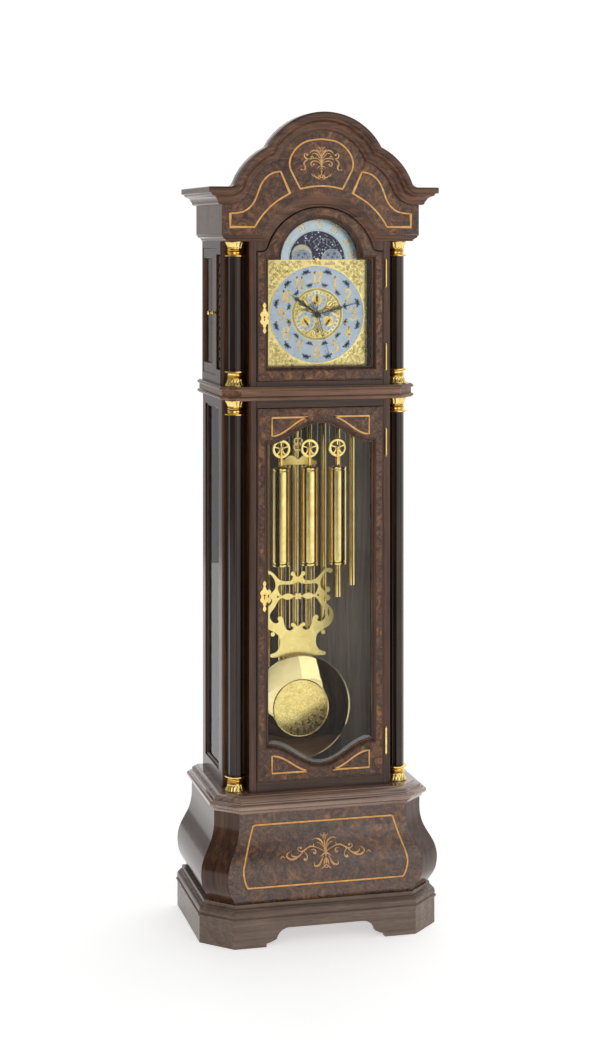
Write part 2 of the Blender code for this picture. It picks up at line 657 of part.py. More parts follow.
def movement_frame():
    """Two brass plates, their pillars, and the cock that hangs the pendulum."""
    low = SEAT_TOP + GAP
    outline = rectangle(-PLATE_HALF, PLATE_HALF, low, PLATE_TOP)
    front_holes = [circle(x, z, 0.0045, 8) for x, z in WINDING_HOLES] + [circle(0.0, DIAL_Z, 0.0062, 12)]
    pieces = [
        plate("front", outline, front_holes, PLATE_FRONT, PLATE_FRONT + PLATE_THICK, FRONT, "brass"),
        plate("rear", outline, [circle(0.0, PIVOT_Z, 0.005, 12)], PLATE_BACK - PLATE_THICK, PLATE_BACK,
              FRONT, "brass"),
    ]
    span = (PLATE_FRONT + 0.001, PLATE_BACK - 0.001)
    for x in (-0.108, 0.108):
        for z in (1.552, 1.790):
            pieces.append(lathe("pillar", [(0.005, span[0]), (0.005, span[1])], (x, 0.0, z), "Y", "brass", 10))
    arm = box("arm", (-0.014, PLATE_BACK - 0.001, 1.786), (0.014, PENDULUM_Y + 0.006, 1.794))
    return combine("movement_frame", pieces + [arm], "brass")


def dial_plate():
    """Square plate with an arch, cut away for the moon, with its four feet."""
    arch = arc(0.0, MOON_Z, ARCH_R, 90.0, 0.0, 12)
    outline = mirrored(arch + [(ARCH_R, DIAL_TOP), (DIAL_HALF, DIAL_TOP), (DIAL_HALF, DIAL_BOTTOM)])
    moon = arc(0.0, MOON_Z, MOON_R, 90.0, 1.5, 10)
    hump_stop = 2.0
    hump = arc(HUMP_X, MOON_Z, HUMP_R, hump_stop, 180.0 - hump_stop, 8)
    base_z = MOON_Z + 0.001
    window = mirrored(moon[:-1] + [(MOON_R, base_z), (HUMP_X + HUMP_R, base_z)] + hump[1:-1]
                      + [(HUMP_X - HUMP_R, base_z)])
    holes = [window, circle(0.0, DIAL_Z, 0.0062, 12)]
    holes += [circle(x, z, 0.0045, 8) for x, z in WINDING_HOLES]
    holes += [circle(x, DIAL_Z + z, 0.0022, 6) for _, x, z in SUBDIALS]
    pieces = [plate("dial", outline, holes, DIAL_Y, DIAL_Y + DIAL_THICK, FRONT, "silvered")]
    for x in (-0.100, 0.100):
        for z in (1.580, 1.780):
            foot = [(0.003, DIAL_Y + 0.001), (0.003, PLATE_FRONT - GAP)]
            pieces.append(lathe("foot", foot, (x, 0.0, z), "Y", "silvered", 6))
    return combine("dial_plate", pieces, "silvered")


def moon_disc():
    """Disc with the painted sky, on its arbor; it turns behind the dial's arch."""
    front = DIAL_Y + DIAL_THICK + 0.001
    profile = [(MOON_R, front), (MOON_R, front + 0.0015), (0.002, front + 0.0015), (0.002, -0.0545)]
    return lathe("moon_disc", profile, (0.0, 0.0, MOON_Z), "Y", "enamel", 40)


def hand(name, reach, tail, width, angle, low, high, bore, pipe, pipe_end, centre=(0.0, DIAL_Z)):
    """A tapered hand on its pipe or arbor; the angle runs clockwise from twelve."""
    cx, cz = centre
    shape = [(-width, 0.0), (-width * 0.55, reach * 0.8), (0.0, reach), (width * 0.55, reach * 0.8),
             (width, 0.0), (width * 0.7, -tail), (-width * 0.7, -tail)]
    turn = radians(angle)
    outline = []
    for u, v in shape:
        outline.append((cx + u * cos(turn) + v * sin(turn), cz - u * sin(turn) + v * cos(turn)))
    blade = plate("blade", outline, [], low, high, FRONT, "black")
    place = (cx, 0.0, cz)
    if bore is None:
        arbor = lathe("arbor", [(pipe, low), (pipe, pipe_end)], place, "Y", "black", 8)
        return combine(name, [blade, arbor], "black")
    boss = lathe("boss", [(pipe + 0.001, low), (pipe + 0.001, high)], place, "Y", "black", 12)
    body = combine("body", [blade, boss], "black")
    drill = lathe("drill", [(bore, low - 0.01), (bore, high + 0.01)], place, "Y", "black", 12)
    holed = combine("holed", [body, drill], "black", "DIFFERENCE")
    tube = sleeve("tube", bore, pipe, high - 0.0004, pipe_end, place, "Y", "black", 12)
    return combine(name, [holed, tube], "black")


def hands():
    rear = PLATE_FRONT + 0.010
    hand("hour_hand", 0.092, 0.014, 0.0055, 306.0, DIAL_Y - 0.0070, DIAL_Y - 0.0058, 0.0036, 0.0048, rear)
    hand("minute_hand", 0.118, 0.016, 0.0045, 74.5, DIAL_Y - 0.0098, DIAL_Y - 0.0086, 0.0018, 0.0031, rear)
    hand("seconds_hand", 0.128, 0.036, 0.0016, 164.0, DIAL_Y - 0.0124, DIAL_Y - 0.0114, None, 0.0013, rear)
    for name, x, z in SUBDIALS:
        hand(f"{name}_dial_hand", 0.019, 0.006, 0.0020, SUBDIAL_TURN[name], DIAL_Y - 0.0038, DIAL_Y - 0.0030, None,
             0.0016, DIAL_Y + 0.012, (x, DIAL_Z + z))


def winding_drum(index):
    """Grooved drum, great wheel and the square arbor that the crank fits."""
    x, z = WEIGHT_X[index], DRUM_Z[index]
    body = CABLE_ARM - CABLE_R - GAP
    front, rear = PLATE_FRONT + PLATE_THICK + GAP, PLATE_BACK - PLATE_THICK - GAP
    profile = [(0.0026, DIAL_Y + 0.001), (0.0026, front + 0.002), (0.026, front + 0.002), (0.026, front + 0.005),
               (body, front + 0.006), (body, rear - 0.012), (0.026, rear - 0.011), (0.026, rear - 0.008),
               (0.034, rear - 0.007), (0.034, rear - 0.004), (0.004, rear - 0.004), (0.004, rear)]
    return lathe(f"winding_drum_{WEIGHT_NAMES[index]}", profile, (x, 0.0, z), "Y", "brass", 14)


def escapement():
    """Escape wheel, and the anchor with its crutch behind the rear plate."""
    front, rear = PLATE_FRONT + PLATE_THICK + GAP, PLATE_BACK - PLATE_THICK - GAP
    wheel_y = 0.008
    profile = [(0.0015, front), (0.0015, wheel_y - 0.001), (0.013, wheel_y - 0.001), (0.013, wheel_y + 0.001),
               (0.0015, wheel_y + 0.001), (0.0015, rear)]
    lathe("escape_wheel", profile, (0.0, 0.0, ESCAPE_Z), "Y", "brass", 20)

    half = [(0.0, 0.006), (0.006, 0.005), (0.020, -0.009), (0.0195, -0.020), (0.0165, -0.020),
            (0.0155, -0.011), (0.005, -0.005), (0.0, -0.0045)]
    outline = mirrored([(x, PIVOT_Z + z) for x, z in half])
    pieces = [plate("pallets", outline, [], wheel_y - 0.0015, wheel_y + 0.0015, FRONT, "steel")]
    crutch_y, crutch_end = 0.0250, 1.700
    pieces.append(lathe("arbor", [(0.0018, front), (0.0018, crutch_y + 0.0004)], (0.0, 0.0, PIVOT_Z), "Y",
                        "steel", 8))
    pieces.append(box("crutch", (-0.003, crutch_y - 0.001, crutch_end), (0.003, crutch_y + 0.001, PIVOT_Z + 0.003)))
    pieces.append(box("pin", (-0.0015, crutch_y, crutch_end + 0.001), (0.0015, PENDULUM_Y - 0.0055, crutch_end + 0.004)))
    combine("anchor", pieces, "steel")


# ---------------------------------------------------------------- pendulum

LYRE_OUTER = (                # right half of the lyre, from the crest round to the foot
    (0.0, 0.9456), (0.010, 0.9560), (0.0175, 0.9520), (0.0165, 0.9450), (0.0090, 0.9400), (0.0120, 0.9320),
    (0.0240, 0.9285), (0.0480, 0.9285), (0.0600, 0.9350), (0.0720, 0.9520), (0.0850, 0.9600), (0.0980, 0.9560),
    (0.0975, 0.9480), (0.0860, 0.9500), (0.0760, 0.9420), (0.0700, 0.9270), (0.0690, 0.9080), (0.0760, 0.8990),
    (0.0830, 0.9040), (0.0930, 0.9040), (0.0960, 0.8960), (0.0880, 0.8865), (0.0960, 0.8780), (0.0930, 0.8690),
    (0.0830, 0.8690), (0.0770, 0.8620), (0.0860, 0.8520), (0.0980, 0.8400), (0.1045, 0.8230), (0.1020, 0.8050),
    (0.0920, 0.7910), (0.0760, 0.7820), (0.0790, 0.7740), (0.0730, 0.7690), (0.0680, 0.7750), (0.0600, 0.7740),
    (0.0530, 0.7640), (0.0515, 0.7480), (0.0560, 0.7320), (0.0660, 0.7210), (0.0800, 0.7200), (0.0820, 0.7130),
    (0.0740, 0.7100), (0.0600, 0.7120), (0.0, 0.7120),
)
LYRE_UPPER_HOLE = (
    (0.0, 0.9250), (0.0120, 0.9220), (0.0250, 0.9190), (0.0480, 0.9190), (0.0560, 0.9130), (0.0590, 0.9040),
    (0.0540, 0.8950), (0.0440, 0.8900), (0.0300, 0.8945), (0.0140, 0.8930), (0.0, 0.8980),
)
LYRE_LOWER_HOLE = (
    (0.0, 0.8735), (0.0140, 0.8790), (0.0300, 0.8770), (0.0440, 0.8815), (0.0580, 0.8740), (0.0625, 0.8600),
    (0.0700, 0.8460), (0.0800, 0.8340), (0.0825, 0.8220), (0.0770, 0.8110), (0.0680, 0.8045), (0.0570, 0.8060),
    (0.0540, 0.8120), (0.0570, 0.8190), (0.0500, 0.8240), (0.0420, 0.8190), (0.0390, 0.8020), (0.0320, 0.7890),
    (0.0230, 0.7850), (0.0130, 0.7900), (0.0130, 0.7990), (0.0060, 0.8040), (0.0, 0.7990),
)


def pendulum():
    """Suspension spring, rod, gridiron and lyre in one, and the bob in front of the lyre's foot."""
    y = PENDULUM_Y
    low, high = y - 0.0015, y + 0.0015
    holes = [mirrored(list(LYRE_UPPER_HOLE)), mirrored(list(LYRE_LOWER_HOLE))]
    pieces = [plate("lyre", mirrored(list(LYRE_OUTER)), holes, low, high, FRONT, "brass")]
    bow = [(0.0, 1.2860), (0.010, 1.2975), (0.024, 1.2980), (0.0390, 1.2800), (0.0395, 1.2710), (0.0, 1.2710)]
    pieces.append(plate("bow", mirrored(bow), [], low, high, FRONT, "brass"))
    for x in (-0.024, -0.012, 0.012, 0.024):
        pieces.append(lathe("rod", [(0.0019, 0.9215), (0.0019, 1.2760)], (x, y, 0.0), "Z", "brass", 6))
    pieces.append(lathe("stem", [(0.0035, 0.5300), (0.0035, 1.7480)], (0.0, y, 0.0), "Z", "brass", 8))
    pieces.append(box("spring", (-0.005, y - 0.0005, 1.7450), (0.005, y + 0.0005, 1.7855)))
    combine("pendulum", pieces, "brass")

    back = low - 0.0045
    profile = [(0.079, back - 0.0315), (0.0800, back - 0.0290), (0.1200, back - 0.0270), (0.1400, back - 0.0235),
               (BOB_R, back - 0.0185), (BOB_R, back - 0.0150), (0.1400, back - 0.0110), (0.0900, back - 0.0030),
               (0.0600, back)]
    lathe("pendulum_bob", profile, (0.0, 0.0, BOB_Z), "Y", "brass", 32)


# ---------------------------------------------------------------- weights, pulleys, cables, chimes

def weight(index):
    """Brass weight shell with its stirrup and the pulley's pin."""
    x = WEIGHT_X[index]
    shell = [(WEIGHT_R - 0.0015, WEIGHT_BOTTOM), (WEIGHT_R, WEIGHT_BOTTOM + 0.0015),
             (WEIGHT_R, WEIGHT_TOP - 0.0015), (WEIGHT_R - 0.0015, WEIGHT_TOP), (0.0050, WEIGHT_TOP + 0.0010),
             (0.0040, WEIGHT_TOP + 0.0090)]
    pieces = [lathe("shell", shell, (x, WEIGHT_Y, 0.0), "Z", "brass", 16)]
    outer, inner, foot, floor, top = 0.0065, 0.0046, 1.2660, 1.2830, PULLEY_Z + 0.008
    strap = [(-outer, foot), (outer, foot), (outer, top), (inner, top), (inner, floor), (-inner, floor),
             (-inner, top), (-outer, top)]
    strap = [(WEIGHT_Y + v, z) for v, z in strap]
    pieces.append(plate("strap", strap, [], x - 0.003, x + 0.003, SIDE, "brass"))
    pin = [(0.0024, WEIGHT_Y - outer + 0.0005), (0.0024, WEIGHT_Y + outer - 0.0005)]
    pieces.append(lathe("pin", pin, (x, 0.0, PULLEY_Z), "Y", "brass", 8))
    combine(f"weight_{WEIGHT_NAMES[index]}", pieces, "brass")


def pulley(index):
    """Grooved pulley turning on the weight's pin."""
    bore, rim, groove = 0.0030, 0.0255, CABLE_ARM - CABLE_R - GAP
    shape = [(bore, -0.004), (rim, -0.004), (rim, -0.003), (groove, -0.001), (groove, 0.001), (rim, 0.003),
             (rim, 0.004), (bore, 0.004)]
    rings = []
    for radius, height in shape:
        angles = [2.0 * pi * i / 18 for i in range(18)]
        rings.append([(radius * cos(a), radius * sin(a), height) for a in angles])
    made = loft(f"pulley_{WEIGHT_NAMES[index]}", rings, "brass", closed=True, smooth=35.0)
    place_turned(made, (WEIGHT_X[index], WEIGHT_Y, PULLEY_Z), "Y")


def cable(index):
    """Steel cable from the seat board down round the pulley and back up."""
    x, top = WEIGHT_X[index], SEAT_BOTTOM - GAP
    path = [(x - CABLE_ARM, top, 180.0), (x - CABLE_ARM, PULLEY_Z + 0.001, 180.0)]
    steps = 12
    for i in range(steps + 1):
        angle = 180.0 + 180.0 * i / steps
        path.append((x + CABLE_ARM * cos(radians(angle)), PULLEY_Z + CABLE_ARM * sin(radians(angle)), angle))
    path += [(x + CABLE_ARM, PULLEY_Z + 0.001, 360.0), (x + CABLE_ARM, top, 360.0)]
    rings = []
    for px, pz, angle in path:
        ring = []
        for i in range(6):
            around = 2.0 * pi * i / 6
            out = CABLE_R * cos(around)
            ring.append((px + out * cos(radians(angle)), WEIGHT_Y + CABLE_R * sin(around),
                         pz + out * sin(radians(angle))))
        rings.append(ring)
    loft(f"cable_{WEIGHT_NAMES[index]}", rings, "steel", smooth=50.0)


def chime_tubes():
    """Nine tubes hanging from a rack that is fixed to the back board."""
    y, z = TUBE_Y, TUBE_RACK_Z
    span = TUBE_PITCH * 4.0 + 0.020
    pieces = [box("rack", (-span, y - 0.008, z - 0.005), (span, y + 0.008, z + 0.007))]
    for sign in (-1.0, 1.0):
        x = sign * (span - 0.012)
        pieces.append(box("bracket", (x - 0.010, y, z - 0.003), (x + 0.010, BACK - 0.0125 - GAP, z + 0.005)))
    for i, end in enumerate(TUBE_ENDS):
        x = (i - 4) * TUBE_PITCH
        shape = [(TUBE_R, end), (TUBE_R, z - 0.020), (0.003, z - 0.018), (0.003, z)]
        pieces.append(lathe("tube", shape, (x, y, 0.0), "Z", "brass", 8))
    combine("chime_tubes", pieces, "brass", smooth=35.0)


# ---------------------------------------------------------------- the whole clock

plinth()
bombe_front()
base_top()
back_board()
waist()
frieze()
frieze_moulding()
cornice()
roof()
for side_name, sign in (("left", -1.0), ("right", 1.0)):
    bombe_side(side_name, sign)
    trunk_post(side_name, sign)
    trunk_side(side_name, sign)
    hood_post(side_name, sign)
    hood_side(side_name, sign)
    column(f"trunk_column_{side_name}", sign, SLAB_TOP, WAIST_BOTTOM)
    column(f"hood_column_{side_name}", sign, WAIST_TOP, HOOD_TOP)
hood_door()
trunk_door()
seat_board()
movement_frame()
dial_plate()
moon_disc()
hands()
escapement()
pendulum()
for number in range(3):
    winding_drum(number)
    weight(number)
    pulley(number)
    cable(number)
chime_tubes()

# ---------------------------------------------------------------- origins on the joints' axes

SIDE_HINGE = (HOOD_HALF - 0.001, 0.1885)              # x and y of the hood side doors' hinge line
FRONT_HINGE_Y = CASE_FRONT - DOOR_PROUD
DIAL_AXIS = (0.0, DIAL_Y - 0.0098, DIAL_Z)
ESCAPE_AXIS = (0.0, 0.008, ESCAPE_Z)
PENDULUM_AXIS = (0.0, PENDULUM_Y, PIVOT_Z)
pivots = {
    "trunk_door_frame": (HINGE_X, FRONT_HINGE_Y, 0.930),
    "trunk_door_glass": (HINGE_X, FRONT_HINGE_Y, 0.930),
    "hood_door_frame": (HINGE_X, FRONT_HINGE_Y, DIAL_Z),
    "hood_door_glass": (HINGE_X, FRONT_HINGE_Y, DIAL_Z),
    "hour_hand": DIAL_AXIS,
    "minute_hand": DIAL_AXIS,
    "seconds_hand": DIAL_AXIS,
    "moon_disc": (0.0, DIAL_Y, MOON_Z),
    "escape_wheel": ESCAPE_AXIS,
    "anchor": (0.0, 0.008, PIVOT_Z),
    "pendulum": PENDULUM_AXIS,
    "pendulum_bob": PENDULUM_AXIS,
}
for side_name, sign in (("left", -1.0), ("right", 1.0)):
    for part in ("door", "glass"):
        pivots[f"hood_side_{part}_{side_name}"] = (sign * SIDE_HINGE[0], SIDE_HINGE[1], DIAL_Z)
for name, x, z in SUBDIALS:
    pivots[f"{name}_dial_hand"] = (x, DIAL_Y, DIAL_Z + z)
for x, drum_z, name in zip(WEIGHT_X, DRUM_Z, WEIGHT_NAMES):
    pivots[f"winding_drum_{name}"] = (x, 0.0, drum_z)
    pivots[f"weight_{name}"] = (x, WEIGHT_Y, PULLEY_Z)
    pivots[f"pulley_{name}"] = (x, WEIGHT_Y, PULLEY_Z)
for name, pivot in pivots.items():
    piece = bpy.data.objects[name]
    piece.data.transform(Matrix.Translation(pivot).inverted())
    piece.location = pivot
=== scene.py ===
"""The looks of a longcase clock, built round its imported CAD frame.

Units are metres in the frame's own axes: +X to the right
as one faces the dial, -Y towards the viewer, +Z up.
"""

import json
import random
from math import asin, atan2, cos, hypot, pi, radians, sin, sqrt

import bmesh
import bpy
from mathutils import Matrix, Vector

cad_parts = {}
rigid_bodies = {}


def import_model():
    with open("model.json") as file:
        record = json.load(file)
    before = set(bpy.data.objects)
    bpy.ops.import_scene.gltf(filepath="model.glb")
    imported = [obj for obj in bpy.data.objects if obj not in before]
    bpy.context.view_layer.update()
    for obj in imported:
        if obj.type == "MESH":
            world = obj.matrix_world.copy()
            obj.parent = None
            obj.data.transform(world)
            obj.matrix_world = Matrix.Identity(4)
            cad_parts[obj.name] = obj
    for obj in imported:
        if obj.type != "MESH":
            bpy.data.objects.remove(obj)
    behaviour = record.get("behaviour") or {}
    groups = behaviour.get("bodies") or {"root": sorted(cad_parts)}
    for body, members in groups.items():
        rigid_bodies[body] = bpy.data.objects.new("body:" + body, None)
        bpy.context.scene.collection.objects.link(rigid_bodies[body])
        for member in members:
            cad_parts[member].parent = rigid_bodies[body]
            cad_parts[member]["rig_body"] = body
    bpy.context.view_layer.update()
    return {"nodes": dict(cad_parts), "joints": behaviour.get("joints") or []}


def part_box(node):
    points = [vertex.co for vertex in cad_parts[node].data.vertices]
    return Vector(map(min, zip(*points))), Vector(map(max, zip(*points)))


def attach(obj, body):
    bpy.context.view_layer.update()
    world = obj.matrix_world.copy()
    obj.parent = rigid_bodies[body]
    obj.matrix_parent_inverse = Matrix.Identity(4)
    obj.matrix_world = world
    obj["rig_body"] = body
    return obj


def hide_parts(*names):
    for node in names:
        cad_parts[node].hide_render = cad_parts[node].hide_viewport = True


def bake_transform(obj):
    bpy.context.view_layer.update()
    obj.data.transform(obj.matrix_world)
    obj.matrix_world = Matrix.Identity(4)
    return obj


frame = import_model()
joint = {item["name"]: Vector(item["pos_m"]) for item in frame["joints"] if "pos_m" in item}

# ---------------------------------------------------------------- places taken from the frame

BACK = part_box("back_board")[1].y
plinth_low, plinth_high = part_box("plinth")
slab_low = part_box("base_top")[0]
waist_low, waist_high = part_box("waist_moulding")
frieze_low, frieze_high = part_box("frieze")
dial_low, dial_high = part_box("dial_plate")
trunk_door_low, trunk_door_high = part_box("trunk_door_frame")
hood_door_low, hood_door_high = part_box("hood_door_frame")
post_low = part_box("trunk_post_right")[0]

TAN_22 = sqrt(2.0) - 1.0
GAP = 0.0003
PROUD = 0.0004                       # how far an inlay or a plate stands out of its ground
CASE_FRONT = post_low.y
DOOR_FRONT = trunk_door_low.y
DOOR_HALF = trunk_door_high.x
DOOR_THICK = trunk_door_high.y - trunk_door_low.y
GLASS_HALF = 0.148
TRUNK_SIDE_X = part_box("trunk_side_right")[1].x
HOOD_SIDE_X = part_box("hood_side_right")[1].x
STILE_INNER = post_low.x
STILE_OUTER = 0.1985
NICHE_BACK = -0.062
FRIEZE_HALF = frieze_high.x
FRIEZE_FRONT = frieze_low.y
ARCH_Z = 1.8258                      # centre of the hood door's arch
ARCH_DOOR_R = hood_door_high.z - ARCH_Z
DIAL_Z = joint["minute_arbor"].z
DIAL_HALF = dial_high.x
DIAL_FACE = dial_low.y
DIAL_BOTTOM = dial_low.z
DIAL_SHOULDER = 1.8368
MOON_Z = joint["moon_arbor"].z
RING_OUTER = dial_high.z - MOON_Z    # silvered arch round the moon's window
RING_INNER = 0.0785
HUMP_X = 0.042
HUMP_R = 0.029
CHAPTER_R = 0.134
CENTRE_R = 0.072
SIDES = (("left", -1.0), ("right", 1.0))
WEIGHTS = ("left", "centre", "right")

# ---------------------------------------------------------------- shader helpers

def add(tree, kind, settings=None, **sockets):
    """A shader node; keyword names are its sockets, given values or other nodes' outputs."""
    made = tree.nodes.new("ShaderNode" + kind)
    for name, value in (settings or {}).items():
        setattr(made, name, value)
    for name, value in sockets.items():
        socket = made.inputs[name.replace("_", " ")]
        if isinstance(value, bpy.types.NodeSocket):
            tree.links.new(value, socket)
        else:
            socket.default_value = value
    return made


def ramp(tree, factor, *stops):
    """A colour ramp with (position, colour) stops."""
    made = add(tree, "ValToRGB", Fac=factor)
    steps = made.color_ramp.elements
    while len(steps) < len(stops):
        steps.new(0.5)
    for step, (position, colour) in zip(steps, stops):
        step.position = position
        step.color = (*colour, 1.0) if len(colour) == 3 else colour
    return made.outputs["Color"]


def mix(tree, factor, first, second, blend="MIX"):
    made = add(tree, "Mix", {"data_type": "RGBA", "blend_type": blend})
    for socket, value in ((0, factor), (6, first), (7, second)):
        if isinstance(value, bpy.types.NodeSocket):
            tree.links.new(value, made.inputs[socket])
        else:
            made.inputs[socket].default_value = value
    return made.outputs[2]


def noise(tree, place, scale, detail=4.0, rough=0.55, warp=0.0):
    return add(tree, "TexNoise", Vector=place, Scale=scale, Detail=detail, Roughness=rough,
               Distortion=warp).outputs["Fac"]


def spread(tree, value, low, high):
    """Maps 0..1 to low..high."""
    return add(tree, "MapRange", Value=value, To_Min=low, To_Max=high).outputs["Result"]


def start(name, **sockets):
    """A new Principled material: (material, tree, shader, object coordinates)."""
    material = bpy.data.materials.new(name)
    material.use_nodes = True
    tree = material.node_tree
    shader = tree.nodes["Principled BSDF"]
    for socket, value in sockets.items():
        shader.inputs[socket.replace("_", " ")].default_value = value
    place = add(tree, "TexCoord").outputs["Object"]
    return material, tree, shader, place


def bump(tree, shader, height, depth, strength=1.0):
    made = add(tree, "Bump", Height=height, Distance=depth, Strength=strength)
    tree.links.new(made.outputs["Normal"], shader.inputs["Normal"])


def wood(name, grain, dark, mid, light, polish=0.16, mottle=0.5, ior=1.44, coat=0.0):
    """Stained and lacquered wood; grain is the axis that its figure runs along on faces it lies in."""
    material, tree, shader, place = start(name, IOR=ior, Coat_Weight=coat, Coat_Roughness=0.06)
    if grain != "Z":
        normal = add(tree, "SeparateXYZ", Vector=add(tree, "TexCoord").outputs["Normal"])
        end_on = normal.outputs[grain]
        facing = add(tree, "Math", {"operation": "ABSOLUTE"})
        tree.links.new(end_on, facing.inputs[0])
        sideways = add(tree, "Math", {"operation": "GREATER_THAN"})
        tree.links.new(facing.outputs[0], sideways.inputs[0])
        sideways.inputs[1].default_value = 0.8
        parts = add(tree, "SeparateXYZ", Vector=place)
        turned_place = add(tree, "CombineXYZ", X=parts.outputs["Y"], Y=parts.outputs["X"],
                           Z=parts.outputs["Z"])
        chosen = add(tree, "Mix", {"data_type": "VECTOR"})
        tree.links.new(sideways.outputs[0], chosen.inputs[0])
        tree.links.new(place, chosen.inputs[4])
        tree.links.new(turned_place.outputs[0], chosen.inputs[5])
        place = chosen.outputs[1]
    across = [1.0, 1.0, 1.0]
    across["XYZ".index(grain)] = 0.035
    stretched = add(tree, "Mapping", Vector=place, Scale=across).outputs["Vector"]
    figure = noise(tree, stretched, 70.0, 5.0, 0.6, 0.8)
    pores = noise(tree, stretched, 900.0, 2.0, 0.6)
    cloud = noise(tree, place, 9.0, 3.0, 0.5, 0.4)
    base = ramp(tree, figure, (0.3, dark), (0.52, mid), (0.74, light))
    cloudy = ramp(tree, cloud, (0.3, (0.62, 0.58, 0.58)), (0.7, (1.18, 1.1, 1.05)))
    tinted = mix(tree, mottle, base, cloudy, "MULTIPLY")
    fine = ramp(tree, pores, (0.36, (0.45, 0.42, 0.4)), (0.5, (1, 1, 1)))
    pored = mix(tree, 0.5, tinted, fine, "MULTIPLY")
    tree.links.new(pored, shader.inputs["Base Color"])
    tree.links.new(spread(tree, figure, polish * 0.8, polish * 1.4), shader.inputs["Roughness"])
    bump(tree, shader, pores, 0.00005, 0.4)
    return material


def burl(name, scale=1.0, coat=0.0):
    """Burl veneer: dark clouds, orange-brown flames and small eyes under a deep gloss."""
    material, tree, shader, place = start(name, IOR=1.44, Coat_Weight=coat, Coat_Roughness=0.05)
    clouds = noise(tree, place, 30.0 * scale, 7.0, 0.66, 1.6)
    flames = noise(tree, place, 62.0 * scale, 6.0, 0.72, 2.2)
    wide = noise(tree, place, 8.0 * scale, 3.0, 0.5, 0.8)
    specks = noise(tree, place, 210.0 * scale, 3.0, 0.7)
    deep = ramp(tree, clouds, (0.34, (0.018, 0.01, 0.009)), (0.45, (0.085, 0.036, 0.018)),
                (0.56, (0.22, 0.092, 0.032)), (0.7, (0.44, 0.2, 0.066)))
    cool = ramp(tree, flames, (0.36, (0.016, 0.011, 0.011)), (0.5, (0.08, 0.04, 0.027)),
                (0.66, (0.22, 0.105, 0.05)))
    share = ramp(tree, wide, (0.4, (0.1, 0.1, 0.1)), (0.6, (0.8, 0.8, 0.8)))
    colour = mix(tree, share, deep, cool)
    dots = ramp(tree, specks, (0.34, (0.3, 0.26, 0.24)), (0.52, (1, 1, 1)))
    specked = mix(tree, 0.7, colour, dots, "MULTIPLY")
    tree.links.new(specked, shader.inputs["Base Color"])
    tree.links.new(spread(tree, clouds, 0.09, 0.2), shader.inputs["Roughness"])
    bump(tree, shader, flames, 0.00005, 0.3)
    return material


def metal(name, colour, shade, rough, brushed=None, wear=0.5):
    """Polished metal with faint tarnish and, if brushed names an axis, fine lines along it."""
    material, tree, shader, place = start(name, Metallic=1.0)
    scale = [1.0, 1.0, 1.0]
    if brushed:
        scale["XYZ".index(brushed)] = 0.02
    stretched = add(tree, "Mapping", Vector=place, Scale=scale).outputs["Vector"]
    lines = noise(tree, stretched, 650.0 if brushed else 90.0, 3.0)
    tarnish = noise(tree, place, 34.0, 4.0, 0.6, 0.6)
    tree.links.new(ramp(tree, tarnish, (0.5 - 0.3 * wear, shade), (0.62, colour)),
                   shader.inputs["Base Color"])
    tree.links.new(spread(tree, lines, rough * 0.6, rough * 1.5), shader.inputs["Roughness"])
    bump(tree, shader, lines, 0.00003, 0.4 if brushed else 0.15)
    return material


def engraved(name, ground, cut, scale):
    """Gilt or silvered plate covered with engraved scrolls."""
    material, tree, shader, place = start(name, Metallic=0.5)
    rough = 0.22
    warped = add(tree, "TexNoise", {"noise_dimensions": "3D"}, Vector=place, Scale=scale * 0.35, Detail=1.0)
    offset = add(tree, "VectorMath", {"operation": "MULTIPLY_ADD"})
    tree.links.new(warped.outputs["Color"], offset.inputs[0])
    offset.inputs[1].default_value = (0.035, 0.035, 0.035)
    tree.links.new(place, offset.inputs[2])
    rings = add(tree, "TexWave", {"wave_type": "RINGS", "rings_direction": "SPHERICAL",
                                  "wave_profile": "SIN"},
                Vector=offset.outputs[0], Scale=scale * 0.5, Distortion=9.0, Detail=2.0, Detail_Scale=3.0)
    lines = rings.outputs["Fac"]
    grains = noise(tree, place, scale * 12.0, 2.0)
    mask = ramp(tree, lines, (0.2, (0, 0, 0)), (0.42, (1, 1, 1)))
    colour = mix(tree, mask, (*cut, 1.0), (*ground, 1.0))
    stipple = ramp(tree, noise(tree, place, scale * 1.6, 2.0, 0.6), (0.38, (0.3, 0.22, 0.1)),
                   (0.46, (1, 1, 1)))
    tree.links.new(mix(tree, 0.85, colour, stipple, "MULTIPLY"), shader.inputs["Base Color"])
    tree.links.new(spread(tree, grains, rough * 0.7, rough * 1.8), shader.inputs["Roughness"])
    bump(tree, shader, lines, 0.0004, 0.6)
    return material


def paint(name, colour, shade, rough, scale=120.0, metallic=0.0):
    """Paint, enamel, cloth or silvering with a slight mottle."""
    material, tree, shader, place = start(name, Metallic=metallic)
    mottle = noise(tree, place, scale, 4.0, 0.6, 0.3)
    tree.links.new(ramp(tree, mottle, (0.3, shade), (0.7, colour)), shader.inputs["Base Color"])
    tree.links.new(spread(tree, mottle, rough * 0.8, rough * 1.25), shader.inputs["Roughness"])
    bump(tree, shader, mottle, 0.00005, 0.4)
    return material


